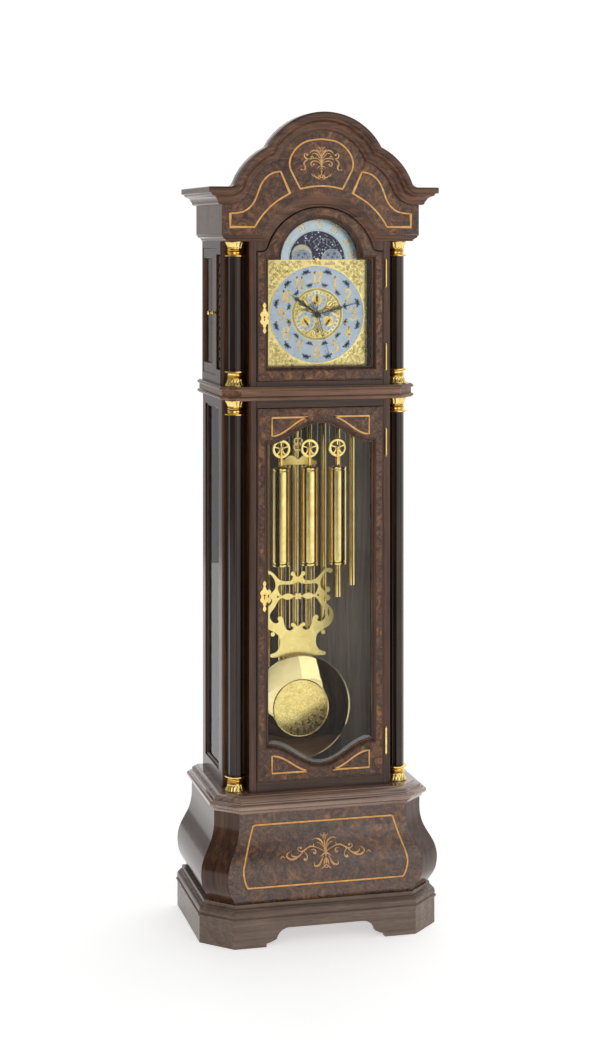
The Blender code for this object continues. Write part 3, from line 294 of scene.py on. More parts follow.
def window_glass(name, tint=(0.95, 0.97, 0.96), ior=1.22):
    """A clear pane: see-through from the front and mirror-like at a grazing angle."""
    material = bpy.data.materials.new(name)
    material.use_nodes = True
    tree = material.node_tree
    tree.nodes.remove(tree.nodes["Principled BSDF"])
    place = add(tree, "TexCoord").outputs["Object"]
    ripple = noise(tree, place, 6.0, 2.0)
    clear = add(tree, "BsdfTransparent", Color=ramp(tree, ripple, (0.3, tint), (0.7, (0.98, 0.99, 0.98))))
    mirror = add(tree, "BsdfGlossy", Color=(1.0, 1.0, 1.0, 1.0), Roughness=0.015)
    share = add(tree, "Fresnel", IOR=ior)
    pane = add(tree, "MixShader")
    tree.links.new(share.outputs[0], pane.inputs[0])
    tree.links.new(clear.outputs[0], pane.inputs[1])
    tree.links.new(mirror.outputs[0], pane.inputs[2])
    tree.links.new(pane.outputs[0], tree.nodes["Material Output"].inputs["Surface"])
    return material


DARK, MID, LIGHT = (0.022, 0.009, 0.005), (0.07, 0.03, 0.013), (0.14, 0.064, 0.03)
RED_DARK, RED_MID, RED_LIGHT = (0.044, 0.017, 0.008), (0.13, 0.056, 0.027), (0.25, 0.118, 0.06)
# Each maker with the settings of the finishes that it makes.
FINISHES = {
    wood: {
        "walnut_x": ("X", DARK, MID, LIGHT),
        "walnut_z": ("Z", DARK, MID, LIGHT),
        "moulding_x": ("X", RED_DARK, RED_MID, RED_LIGHT),
        "moulding_z": ("Z", RED_DARK, RED_MID, RED_LIGHT),
        "waist_wood": ("X", (0.1, 0.046, 0.025), (0.215, 0.11, 0.064), (0.34, 0.19, 0.115)),
        # slab: walnut lightened and greyed; part of its pale tone is painted sheen and light from above
        "slab_wood": ("X", (0.15, 0.082, 0.054), (0.33, 0.2, 0.14), (0.47, 0.31, 0.225), 0.12, 0.4, 1.6,
                      0.8),
        # plinth: walnut with a grey cast; the grey is painted sheen, the brown is the wood's own tone
        "plinth_wood": ("X", (0.15, 0.104, 0.078), (0.205, 0.15, 0.116), (0.26, 0.196, 0.155), 0.24, 0.4,
                        1.32),
        "post_wood": ("Z", (0.03, 0.012, 0.006), (0.084, 0.036, 0.017), (0.15, 0.068, 0.034)),
        "ebonised": ("Z", (0.014, 0.008, 0.006), (0.034, 0.019, 0.012), (0.06, 0.034, 0.022), 0.1),
        "inside": ("Z", (0.22, 0.158, 0.118), (0.32, 0.24, 0.182), (0.42, 0.32, 0.246), 0.5, 0.2),
        "rough_wood": ("Z", (0.18, 0.134, 0.108), (0.26, 0.205, 0.17), (0.34, 0.276, 0.228), 0.6, 0.2),
    },
    burl: {
        "burl": (),
        "burl_base": (0.85, 0.7),
    },
    paint: {
        "inlay": ((0.95, 0.53, 0.15), (0.66, 0.26, 0.045), 0.25, 60.0),
        "marquetry": ((0.92, 0.58, 0.24), (0.5, 0.2, 0.045), 0.3, 110.0),
        "marquetry_edge": ((0.12, 0.045, 0.018), (0.06, 0.022, 0.01), 0.35),
        "inlay_edge": ((0.02, 0.011, 0.008), (0.008, 0.005, 0.004), 0.3),
        "silvered": ((0.5, 0.56, 0.66), (0.38, 0.44, 0.53), 0.3, 60.0, 0.8),
        "silver_arch": ((0.62, 0.7, 0.76), (0.5, 0.58, 0.66), 0.34, 60.0, 0.75),
        "hemisphere": ((0.62, 0.66, 0.74), (0.16, 0.18, 0.26), 0.45, 420.0, 0.5),
        "moon_face": ((0.88, 0.8, 0.52), (0.5, 0.46, 0.34), 0.4, 300.0, 0.3),
        "night": ((0.034, 0.018, 0.1), (0.012, 0.008, 0.042), 0.5, 260.0),
        "star": ((1.0, 1.0, 1.0), (0.92, 0.94, 0.98), 0.5),
        "hemisphere_map": ((0.13, 0.15, 0.24), (0.06, 0.07, 0.13), 0.5),
        "moon_line": ((0.33, 0.2, 0.06), (0.18, 0.1, 0.03), 0.5),
        "ink": ((0.035, 0.045, 0.11), (0.012, 0.016, 0.045), 0.4),
        "black": ((0.012, 0.012, 0.015), (0.005, 0.005, 0.006), 0.28, 200.0),
        # black felt for the sound cloths; the same near-black stands as painted shade in the keyholes and
        # behind the dial
        "felt": ((0.03, 0.022, 0.02), (0.014, 0.01, 0.01), 0.9, 900.0),
        "floor": ((0.95, 0.95, 0.95), (0.92, 0.92, 0.92), 0.9, 3.0),
    },
    metal: {
        "brass": ((1.0, 0.78, 0.3), (0.88, 0.6, 0.17), 0.13),
        "brass_tube": ((1.0, 0.78, 0.32), (0.9, 0.63, 0.2), 0.16, "Z"),
        "brass_satin": ((1.0, 0.8, 0.32), (0.92, 0.68, 0.22), 0.3),
        "brass_mirror": ((0.96, 0.79, 0.42), (0.92, 0.73, 0.36), 0.03, None, 0.1),
        "orange_brass": ((0.95, 0.6, 0.16), (0.8, 0.44, 0.1), 0.16),
        "steel": ((0.62, 0.62, 0.64), (0.45, 0.45, 0.47), 0.25),
        "rod_steel": ((0.58, 0.5, 0.38), (0.42, 0.34, 0.24), 0.28, "Z"),
        "gilt_plate": ((0.9, 0.72, 0.3), (0.66, 0.48, 0.17), 0.24, None, 1.0),
        # gilt_shade: painted shade under the dial's corner curls
        "gilt_shade": ((0.2, 0.13, 0.04), (0.12, 0.07, 0.02), 0.35),
        "bob_engraved": ((1.0, 0.8, 0.32), (0.74, 0.52, 0.16), 0.26, None, 1.1),
        "cable": ((0.6, 0.56, 0.48), (0.4, 0.36, 0.3), 0.3),
        "gold_paint": ((0.86, 0.56, 0.16), (0.42, 0.22, 0.05), 0.24, None, 1.2),
    },
    engraved: {
        "gilt_centre": ((1.0, 0.88, 0.46), (0.4, 0.28, 0.09), 330.0),
    },
    window_glass: {
        "glass": (),
        "bevel_glass": ((0.86, 0.89, 0.91), 1.62),
    },
}
look = {name: make(name, *settings) for make, group in FINISHES.items() for name, settings in group.items()}
pale = look["floor"].node_tree.nodes["Principled BSDF"].inputs
pale["Emission Color"].default_value = (1.0, 1.0, 1.0, 1.0)
pale["Emission Strength"].default_value = 0.52

# ---------------------------------------------------------------- shape helpers

FRONT = Matrix(((1, 0, 0, 0), (0, 0, 1, 0), (0, 1, 0, 0), (0, 0, 0, 1)))   # (u, v, w) to x, z, y
SIDE = Matrix(((0, 0, 1, 0), (1, 0, 0, 0), (0, 1, 0, 0), (0, 0, 0, 1)))    # (u, v, w) to y, z, x
PLAN = Matrix.Identity(4)                                                  # (u, v, w) to x, y, z


def piece(name, bm, finish, body="case", stands_for=(), smooth=35.0):
    """Turns a bmesh into a named object that rides on a body and may stand for CAD nodes."""
    bmesh.ops.remove_doubles(bm, verts=bm.verts[:], dist=0.000005)
    bmesh.ops.recalc_face_normals(bm, faces=bm.faces[:])
    mesh = bpy.data.meshes.new(name)
    bm.to_mesh(mesh)
    bm.free()
    made = bpy.data.objects.new(name, mesh)
    bpy.context.scene.collection.objects.link(made)
    mesh.shade_smooth()
    mesh.set_sharp_from_angle(angle=radians(smooth))
    mesh.materials.append(look[finish])
    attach(made, body)
    if stands_for:
        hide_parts(*stands_for)
    return made


def loft(bm, rings, closed=False):
    """Skins rings of equal length; the ends are capped, or joined to each other when closed."""
    made = [[bm.verts.new(p) for p in ring] for ring in rings]
    pairs = list(zip(made, made[1:]))
    if closed:
        pairs.append((made[-1], made[0]))
    for low, high in pairs:
        for i in range(len(low)):
            j = (i + 1) % len(low)
            bm.faces.new((low[i], low[j], high[j], high[i]))
    if not closed:
        bm.faces.new(made[0][::-1])
        bm.faces.new(made[-1])


def plate(bm, outline, holes, low, high, view=FRONT):
    """A flat board cut to an outline with holes, from w = low to w = high of a view."""
    work = bmesh.new()
    for loop in [outline, *holes]:
        verts = [work.verts.new((u, v, low)) for u, v in loop]
        for i, vert in enumerate(verts):
            work.edges.new((vert, verts[(i + 1) % len(verts)]))
    bmesh.ops.triangle_fill(work, use_beauty=True, use_dissolve=False, edges=work.edges[:])
    made = bmesh.ops.extrude_face_region(work, geom=work.faces[:])
    moved = [item for item in made["geom"] if isinstance(item, bmesh.types.BMVert)]
    bmesh.ops.translate(work, verts=moved, vec=(0.0, 0.0, high - low))
    bmesh.ops.transform(work, matrix=view, verts=work.verts[:])
    bmesh.ops.recalc_face_normals(work, faces=work.faces[:])
    merge(bm, work)


def merge(bm, work, matrix=None):
    """Copies one bmesh into another and frees it."""
    if matrix is not None:
        bmesh.ops.transform(work, matrix=matrix, verts=work.verts[:])
    mesh = bpy.data.meshes.new("passing")
    work.to_mesh(mesh)
    work.free()
    bm.from_mesh(mesh)
    bpy.data.meshes.remove(mesh)


def turned(centre, axis):
    turns = {"Z": Matrix.Identity(4), "Y": Matrix.Rotation(-pi / 2.0, 4, "X"),
             "X": Matrix.Rotation(pi / 2.0, 4, "Y")}
    return Matrix.Translation(centre) @ turns[axis]


def lathe(bm, profile, centre, axis="Z", segments=48, closed=False):
    """Turns (radius, height) points about an axis; closed joins the last point to the first."""
    matrix = turned(centre, axis)
    rings = []
    for i in range(segments):
        angle = 2.0 * pi * i / segments
        rings.append([matrix @ Vector((r * cos(angle), r * sin(angle), h)) for r, h in profile])
    if closed:
        loft(bm, rings, closed=True)
        return
    made = [[bm.verts.new(p) for p in ring] for ring in rings]
    for k in range(segments):
        this, then = made[k], made[(k + 1) % segments]
        for i in range(len(profile) - 1):
            bm.faces.new((this[i], then[i], then[i + 1], this[i + 1]))
    bm.faces.new([ring[0] for ring in made][::-1])
    bm.faces.new([ring[-1] for ring in made])


def box(bm, low, high):
    plate(bm, rectangle(low[0], high[0], low[1], high[1]), [], low[2], high[2], PLAN)


def rectangle(u0, u1, v0, v1):
    return [(u0, v0), (u1, v0), (u1, v1), (u0, v1)]


def arc(cu, cv, radius, begin, stop, steps):
    """Points on an arc, both ends included; angles in degrees."""
    points = []
    for i in range(steps + 1):
        angle = radians(begin + (stop - begin) * i / steps)
        points.append((cu + radius * cos(angle), cv + radius * sin(angle)))
    return points


def circle(cu, cv, radius, steps=48):
    return arc(cu, cv, radius, 0.0, 360.0 - 360.0 / steps, steps - 1)


def mirrored(right_half):
    """A whole outline from its right half, which runs from the axis outwards and round."""
    left = [(-u, v) for u, v in reversed(right_half) if abs(u) > 0.00001]
    return list(right_half) + left


def sided(sign, points):
    """Points (u, v) as they are, or on the other side of the axis when sign is -1."""
    return [(sign * u, v) for u, v in points]


def smooth_line(points, steps=6, closed=False):
    """A Catmull-Rom curve through the points."""
    count = len(points)
    last = count if closed else count - 1
    result = []
    for i in range(last):
        if closed:
            a, b, c, d = (points[(i + k) % count] for k in (-1, 0, 1, 2))
        else:
            a, b, c, d = points[max(i - 1, 0)], points[i], points[i + 1], points[min(i + 2, count - 1)]
        for k in range(steps):
            t = k / steps
            spot = []
            for p0, p1, p2, p3 in zip(a, b, c, d):
                spot.append(0.5 * (2.0 * p1 + (p2 - p0) * t + (2.0 * p0 - 5.0 * p1 + 4.0 * p2 - p3) * t * t
                                   + (3.0 * p1 - p0 - 3.0 * p2 + p3) * t * t * t))
            result.append(tuple(spot))
    if not closed:
        result.append(tuple(points[-1]))
    return result


def on_plane(y):
    """Lifts (u, v, w) to a plane that faces the viewer; w is the height above it."""
    return lambda u, v, w: (u, y - w, v)


def ribbon(bm, line, widths, lift, thick=PROUD, closed=False, sink=0.0006):
    """A flat strip along a line of (u, v) points, as wide as told at each point."""
    count = len(line)
    rings = []
    for i, (u, v) in enumerate(line):
        before = line[(i - 1) % count] if closed else line[max(i - 1, 0)]
        after = line[(i + 1) % count] if closed else line[min(i + 1, count - 1)]
        ahead = Vector((after[0] - before[0], after[1] - before[1]))
        if ahead.length < 1e-9:
            ahead = Vector((1.0, 0.0))
        ahead.normalize()
        stretch = 1.0
        if (closed or 0 < i < count - 1):
            first = Vector((u - before[0], v - before[1]))
            if first.length > 1e-9:
                stretch = min(1.0 / max(abs(first.normalized().dot(ahead)), 0.5), 1.8)
        half = 0.5 * stretch * (widths[i] if isinstance(widths, (list, tuple)) else widths)
        nu, nv = -ahead.y * half, ahead.x * half
        rings.append([lift(u + nu, v + nv, thick), lift(u - nu, v - nv, thick),
                      lift(u - nu, v - nv, -sink), lift(u + nu, v + nv, -sink)])
    loft(bm, rings, closed=closed)


def patch(bm, outline, lift, low, high):
    """A flat patch over an outline, from w = low to w = high of a lift."""
    loft(bm, [[lift(u, v, w) for u, v in outline] for w in (low, high)])


def leaf(bm, line, widest, lift, thick=PROUD, start_width=0.08):
    """A strip that swells from a point to its widest place and back to a point."""
    fullest = 0.45
    widths = []
    for i in range(len(line)):
        t = i / (len(line) - 1)
        rise = t / fullest if t < fullest else (1.0 - t) / (1.0 - fullest)
        swell = sin(0.5 * pi * max(rise, 0.0))
        widths.append(widest * max(swell, start_width * (1.0 - t), 0.03))
    ribbon(bm, line, widths, lift, thick)


def canted_path(half, front, cant, grow):
    """Plan of a case front: rear left, canted corners, rear right; grown outwards by an offset."""
    side = half + grow
    face = front - grow
    slide = grow * TAN_22
    return [(-side, BACK), (-side, front + cant - slide), (-half + cant - slide, face),
            (half - cant + slide, face), (side, front + cant - slide), (side, BACK)]

# ---------------------------------------------------------------- plinth, bombe base and its top

PLINTH_CANT = 0.082
PLINTH_TOP = plinth_high.z
SLAB_CANT = 0.0675
WAIST_CANT = 0.049


def bevelled(points, rounds, steps=4):
    """A profile whose named corners are rounded off: rounds maps an index to a radius."""
    result = []
    for i, point in enumerate(points):
        if i not in rounds:
            result.append(point)
            continue
        here = Vector(point)
        before, after = Vector(points[i - 1]), Vector(points[(i + 1) % len(points)])
        near = here + (before - here).normalized() * rounds[i]
        far = here + (after - here).normalized() * rounds[i]
        for k in range(steps + 1):
            t = k / steps
            spot = near * (1 - t) ** 2 + here * 2 * t * (1 - t) + far * t * t
            result.append((spot.x, spot.y))
    return result


def raised(base, points):
    """Profile points (across, height) lifted by a base height."""
    return [(across, base + height) for across, height in points]


def moulding(bm, half, front, cant, profile):
    """A canted slab whose edge follows (grow, z) points, notched behind for the back board."""
    notch = HOOD_SIDE_X - 0.0245
    rings = []
    for grow, z in profile:
        ring = [(x, y, z) for x, y in canted_path(half, front, cant, grow)]
        ring += [(notch, BACK, z), (notch, BACK - 0.013, z), (-notch, BACK - 0.013, z), (-notch, BACK, z)]
        rings.append(ring)
    loft(bm, rings)


def minus(made, cutters):
    """Cuts bmesh solids out of an object."""
    for work in cutters:
        bmesh.ops.recalc_face_normals(work, faces=work.faces[:])
        mesh = bpy.data.meshes.new("cutter")
        work.to_mesh(mesh)
        work.free()
        cutter = bpy.data.objects.new("cutter", mesh)
        bpy.context.scene.collection.objects.link(cutter)
        modifier = made.modifiers.new("cut", "BOOLEAN")
        modifier.operation = "DIFFERENCE"
        modifier.solver = "EXACT"
        modifier.object = cutter
        graph = bpy.context.evaluated_depsgraph_get()
        cut = bpy.data.meshes.new_from_object(made.evaluated_get(graph))
        made.modifiers.clear()
        made.data = cut
        bpy.data.objects.remove(cutter, do_unlink=True)
    made.data.shade_smooth()
    made.data.set_sharp_from_angle(angle=radians(35.0))


def plinth():
    """Skirt with bracket feet under a beaded and coved moulding; only the front is cut out."""
    lip = 0.071
    profile = [(-0.004, 0.0), (-0.004, lip)]
    profile += smooth_line(raised(lip, [(-0.0015, 0.0008), (-0.0004, 0.0028), (-0.0004, 0.0058),
                                        (-0.0018, 0.008)]), 4)
    profile += [(-0.0042, lip + 0.009), (-0.0042, lip + 0.011)]
    profile += smooth_line(raised(lip, [(-0.003, 0.0125), (-0.0031, 0.017), (-0.005, 0.0232),
                                        (-0.0086, 0.0278)]), 5)
    profile += [(-0.011, lip + 0.029), (-0.0112, lip + 0.0305)]
    profile += smooth_line([(-0.0135, lip + 0.0315), (-0.0158, lip + 0.0328), (-0.0172, lip + 0.0352)], 4)
    profile += [(-0.0175, PLINTH_TOP), (-0.06, PLINTH_TOP), (-0.06, lip), (-0.024, lip - 0.006),
                (-0.024, 0.0)]
    paths = [canted_path(plinth_high.x, plinth_low.y, PLINTH_CANT, grow) for grow, _ in profile]
    rings = []
    for corner in range(6):
        rings.append([(*paths[k][corner], profile[k][1]) for k in range(len(profile))])
    bm = bmesh.new()
    loft(bm, rings)
    # the plinth's grey cast is painted sheen
    made = piece("plinth_moulded", bm, "plinth_wood", stands_for=["plinth"])
    foot, notch, flat, rise = 0.165, 0.012, 0.098, 0.0477
    curve = arc(flat + 0.004, 0.012, rise - 0.012, 90.0, 12.0, 16)
    arch = [(flat * 0.5, rise)] + curve + [(foot - notch, 0.012), (foot, 0.009), (foot, -0.01)]
    front_cut = bmesh.new()
    plate(front_cut, mirrored(arch), [], -0.23, -0.15)
    minus(made, [front_cut])


plinth()

levels = {}
for vertex in frame["nodes"]["bombe_front"].data.vertices:
    key = round(vertex.co.z, 4)
    x, y = levels.get(key, (0.0, 0.0))
    levels[key] = (max(x, vertex.co.x), min(y, vertex.co.y))
neck_x, neck_y = levels[max(levels)]
belly_y = min(y for x, y in levels.values())
swells = smooth_line([(z, (neck_y - levels[z][1]) / (neck_y - belly_y)) for z in sorted(levels)], 5)
SWELL_SIDE, SWELL_FRONT, SWELL_CORNER = 0.0414, neck_y - belly_y, 0.0376
NECK_HALF = 0.2906
NECK_CORNER = neck_x + GAP


def swell_at(z):
    for (z0, s0), (z1, s1) in zip(swells, swells[1:]):
        if z0 <= z <= z1:
            return s0 + (s1 - s0) * (z - z0) / max(z1 - z0, 1e-9)
    return swells[0][1] if z < swells[0][0] else swells[-1][1]


def on_belly(u, v, w):
    """Lifts (u, v, w) to the curved front of the base."""
    return (u, neck_y - SWELL_FRONT * swell_at(v) + PROUD - w, v)


def bombe():
    """Veneered front and sides that swell between neck and foot."""
    bm = bmesh.new()
    rings = []
    for z, swell in swells:
        x = NECK_CORNER + SWELL_CORNER * swell - GAP
        y = neck_y - SWELL_FRONT * swell + PROUD
        rings.append([(-x, y, z), (x, y, z), (x, y + 0.018, z), (-x, y + 0.018, z)])
    loft(bm, rings)
    piece("bombe_front_veneer", bm, "burl_base", stands_for=["bombe_front"])
    for side_name, sign in SIDES:
        bm = bmesh.new()
        rings = []
        for z, swell in swells:
            half = NECK_HALF + SWELL_SIDE * swell
            corner = NECK_CORNER + SWELL_CORNER * swell
            front = neck_y - SWELL_FRONT * swell
            cant, inner = half - corner, 0.018 * TAN_22
            ring = [(corner, front), (half, front + cant), (half, BACK), (half - 0.018, BACK),
                    (half - 0.018, front + cant + inner), (corner, front + 0.018)]
            rings.append([(sign * x, y, z) for x, y in ring])
        loft(bm, rings)
        piece(f"bombe_side_{side_name}_veneer", bm, "post_wood", stands_for=[f"bombe_side_{side_name}"])


bombe()


def base_top():
    """Moulded slab on the base, with the riser under the trunk door."""
    low, high = slab_low.z, 0.397
    profile = [(-0.0148, low), (-0.012, low + 0.002)]
    profile += smooth_line(raised(low, [(-0.0105, 0.006), (-0.0085, 0.0095), (-0.0045, 0.012),
                                        (-0.0015, 0.0135)]), 5)
    profile += smooth_line(raised(low, [(-0.0005, 0.015), (0.0, 0.019), (-0.001, 0.0235),
                                        (-0.005, 0.0262)]), 5)
    profile += [(-0.0085, low + 0.027), (-0.0085, low + 0.0295), (-0.0148, low + 0.03)]
    profile += smooth_line(raised(low, [(-0.015, 0.033), (-0.0175, 0.0365), (-0.0225, 0.04),
                                        (-0.0295, 0.0425)]), 5)
    profile += [(-0.0304, low + 0.043), (-0.0304, high)]
    bm = bmesh.new()
    moulding(bm, 0.3054, slab_low.y, SLAB_CANT, profile)
    # the slab's pale tone is partly painted sheen and top light over the walnut
    piece("base_top_moulded", bm, "slab_wood", stands_for=["base_top"])
    bm = bmesh.new()
    box(bm, (-DOOR_HALF, CASE_FRONT, high), (DOOR_HALF, CASE_FRONT + 0.02, trunk_door_low.z - 0.001))
    piece("base_top_riser", bm, "walnut_x")


base_top()

# ---------------------------------------------------------------- posts, waist and columns

def post_outline(sign):
    """Plan of a post: stile beside the door with a rounded arris, niche cheek and niche back."""
    cheek = STILE_OUTER - 0.012
    outer, side_front = TRUNK_SIDE_X - GAP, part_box("trunk_side_right")[0].y
    shape = [(STILE_INNER, CASE_FRONT), (STILE_OUTER, CASE_FRONT), (STILE_OUTER, NICHE_BACK),
             (outer, NICHE_BACK),
             (outer, side_front - GAP), (cheek, side_front - GAP), (cheek, CASE_FRONT + 0.02),
             (STILE_INNER, CASE_FRONT + 0.02)]
    shape = bevelled(shape, {0: 0.0015, 1: 0.0045, 3: 0.002}, 6)
    return sided(sign, shape)


ARCH_CLEAR = 0.0022
COVE = 0.018


def ogee_half(half, shoulder, cz, radius, cove, inset):
    """Right half of an arch on coved shoulders, from the top outwards, offset inwards by inset."""
    rise = asin((shoulder + cove - cz) / (radius + cove))
    cove_x, cove_z = (radius + cove) * cos(rise), shoulder + cove
    points = arc(0.0, cz, radius - inset, 90.0, rise * 180.0 / pi, 32)
    points += arc(cove_x, cove_z, cove + inset, 180.0 + rise * 180.0 / pi, 270.0, 10)[1:]
    points.append((half - inset, shoulder - inset))
    return points


DOOR_SHOULDER = 1.8606


def posts():
    """Trunk posts, and hood posts whose inner edge follows the hood door's shoulder."""
    for side_name, sign in SIDES:
        low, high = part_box(f"trunk_post_{side_name}")
        bm = bmesh.new()
        plate(bm, post_outline(sign), [], low.z, high.z, PLAN)
        piece(f"trunk_post_{side_name}_moulded", bm, "post_wood", stands_for=[f"trunk_post_{side_name}"])
        low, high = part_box(f"hood_post_{side_name}")
        bm = bmesh.new()
        plate(bm, post_outline(sign), [], low.z, high.z, PLAN)
        corner = ogee_half(DOOR_HALF, DOOR_SHOULDER, ARCH_Z, ARCH_DOOR_R, COVE, -ARCH_CLEAR)
        edge = [(x, z) for x, z in corner if z < high.z - 0.0005 and x < DOOR_HALF - 0.002]
        last = sqrt((ARCH_DOOR_R + ARCH_CLEAR) ** 2 - (high.z - ARCH_Z) ** 2)
        right = [(last, high.z)] + edge
        right += [(STILE_INNER, DOOR_SHOULDER + ARCH_CLEAR), (STILE_INNER, high.z)]
        plate(bm, sided(sign, right), [], CASE_FRONT, CASE_FRONT + 0.016)
        piece(f"hood_post_{side_name}_moulded", bm, "post_wood", stands_for=[f"hood_post_{side_name}"])


posts()


def waist():
    """Band between two beads, and the rails that close the gaps above and below the doors."""
    low, high = 1.4582, 1.4949
    edge = 0.0045
    bead = smooth_line([(0.0, 0.0), (0.0032, 0.001), (0.0045, 0.0042), (0.0032, 0.0074), (0.0, 0.0088)], 4)
    profile = [(-edge, low), (-edge, low + 0.0012)]
    profile += [(grow - edge, low + 0.0016 + z) for grow, z in bead]
    profile += [(-edge - 0.0015, low + 0.0112), (-edge - 0.0015, high - 0.0112)]
    profile += [(grow - edge, high - 0.0104 + z) for grow, z in bead]
    profile += [(-edge, high - 0.0012), (-edge, high)]
    bm = bmesh.new()
    moulding(bm, waist_high.x, waist_low.y, WAIST_CANT, profile)
    made = piece("waist_moulded", bm, "waist_wood", stands_for=["waist_moulding"])
    hole = bmesh.new()
    box(hole, (-0.183, -0.11, 1.4), (0.183, 0.17, 1.55))
    minus(made, [hole])
    bm = bmesh.new()
    box(bm, (-DOOR_HALF, CASE_FRONT, trunk_door_high.z + 0.001),
        (DOOR_HALF, CASE_FRONT + 0.02, low - 0.0001))
    box(bm, (-DOOR_HALF, CASE_FRONT, high + 0.0001), (DOOR_HALF, CASE_FRONT + 0.02,
                                                      hood_door_low.z - 0.001))
    piece("door_rails", bm, "walnut_x")


waist()


def shaft_rings(centre, radius, heights):
    """Rings of a fluted shaft whose fillets face a little to the viewer's left."""
    flutes, steps, facing = 8, 12, radians(-102.4)
    rings = []
    for z in heights:
        ring = []
        for i in range(flutes * steps):
            share = (i % steps) / steps
            hollow = sin(pi * min(max((share - 0.09) / 0.82, 0.0), 1.0)) ** 0.6
            r = radius - 0.0022 * hollow
            angle = 2.0 * pi * i / (flutes * steps) + facing
            ring.append((centre[0] + r * cos(angle), centre[1] + r * sin(angle), z))
        rings.append(ring)
    return rings


def capital(bm, centre, outer_z, step):
    """Brass capital or base; step is -1 when it hangs from outer_z and +1 when it stands on it."""
    x, y = centre
    core = [(0.018, 0.0), (0.0262, 0.0), (0.027, 0.001), (0.027, 0.003), (0.0225, 0.0045)]
    core += smooth_line([(0.0222, 0.006), (0.0216, 0.012), (0.0196, 0.0185), (0.019, 0.0205)], 4)
    for middle, radius in ((0.022, 0.0232), (0.0252, 0.0216), (0.0284, 0.0232)):
        core += raised(middle, [(radius - 0.003, -0.0014), (radius - 0.0008, -0.001), (radius, 0.0),
                                (radius - 0.0008, 0.001), (radius - 0.003, 0.0014)])
    core += smooth_line([(0.0204, 0.0305), (0.0212, 0.0335), (0.024, 0.0362), (0.028, 0.0376)], 4)
    core += [(0.0285, 0.0382), (0.0285, 0.0405), (0.0272, 0.0412), (0.0205, 0.042), (0.018, 0.042)]
    lathe(bm, [(r, outer_z + step * h) for r, h in core], (x, y, 0.0), "Z", 48)
    leaves = 12
    rings = []
    for k in range(9):
        t = k / 8.0
        h = 0.0035 + 0.015 * t
        flare = 0.0285 - 0.0068 * sin(0.5 * pi * t)
        ring = []
        for i in range(leaves * 8):
            lobe = abs(sin(pi * i / 8.0))
            r = flare - 0.0026 * (1.0 - lobe) ** 1.5 * (1.0 - 0.4 * t)
            angle = 2.0 * pi * i / (leaves * 8)
            ring.append((x + r * cos(angle), y + r * sin(angle),
                         outer_z + step * (h - 0.0012 * lobe * (1 - t))))
        rings.append(ring)
    loft(bm, rings)


def columns():
    """Fluted shafts with brass capitals and bases."""
    for part in ("trunk", "hood"):
        for side_name, _ in SIDES:
            name = f"{part}_column_{side_name}"
            low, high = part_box(name)
            centre = (0.5 * (low.x + high.x), 0.5 * (low.y + high.y))
            bm = bmesh.new()
            capital(bm, centre, low.z, 1.0)
            capital(bm, centre, high.z, -1.0)
            piece(f"{name}_brass", bm, "brass")
            inset = 0.041
            heights = [low.z + inset, low.z + inset + 0.004, high.z - inset - 0.004, high.z - inset]
            bm = bmesh.new()
            loft(bm, shaft_rings(centre, 0.02, heights))
            piece(f"{name}_shaft", bm, "ebonised", stands_for=[name], smooth=50.0)


columns()

# ---------------------------------------------------------------- frieze, its mouldings and the cornice

CREST_R = 0.1788
CREST_Z = frieze_high.z - CREST_R
EAR_Z = 2.0356
SHOULDER_X, SHOULDER_Z, SHOULDER_R = 0.082, 1.9876, 0.174
EAR_COVE_R = 0.018
ARCH_MOULD_R = 0.1888
ARCH_MOULD_INNER = 0.157
FRIEZE_BOTTOM = frieze_low.z - GAP
HOOD_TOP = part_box("frieze_moulding")[0].z


def pediment_half(inset, end_x):
    """Right half of the pediment's outline: middle arch, shoulder, cove and ear."""
    big, side = CREST_R - inset, SHOULDER_R - inset
    reach = hypot(SHOULDER_X, SHOULDER_Z - CREST_Z)
    along = (big * big - side * side + reach * reach) / (2.0 * reach)
    across = sqrt(big * big - along * along)
    ux, uz = SHOULDER_X / reach, (SHOULDER_Z - CREST_Z) / reach
    kink = (ux * along - uz * across, CREST_Z + uz * along + ux * across)
    crest_stop = atan2(kink[1] - CREST_Z, kink[0]) * 180.0 / pi
    side_start = atan2(kink[1] - SHOULDER_Z, kink[0] - SHOULDER_X) * 180.0 / pi
    rise = asin((EAR_Z + EAR_COVE_R - SHOULDER_Z) / (SHOULDER_R + EAR_COVE_R))
    cove_x = SHOULDER_X + (SHOULDER_R + EAR_COVE_R) * cos(rise)
    points = arc(0.0, CREST_Z, big, 90.0, crest_stop, 24)
    points += arc(SHOULDER_X, SHOULDER_Z, side, side_start, rise * 180.0 / pi, 18)[1:]
    points += arc(cove_x, EAR_Z + EAR_COVE_R, EAR_COVE_R + inset, 180.0 + rise * 180.0 / pi, 270.0, 9)[1:]
    points.append((end_x, EAR_Z - inset))
    return points


def wrapped(bm, lines, closed=False):
    """Skins lines of equal length, one per profile point, into a moulding."""
    loft(bm, [[line[i] for line in lines] for i in range(len(lines[0]))], closed)


def hood_line(half, x, y, z):
    """A line from the back along one side, across the front by a mirrored half outline, and to the back."""
    front = [(u, y, v) for u, v in reversed(half)] + [(-u, y, v) for u, v in half[1:]]
    return [(x, BACK, z), *front, (-x, BACK, z)]


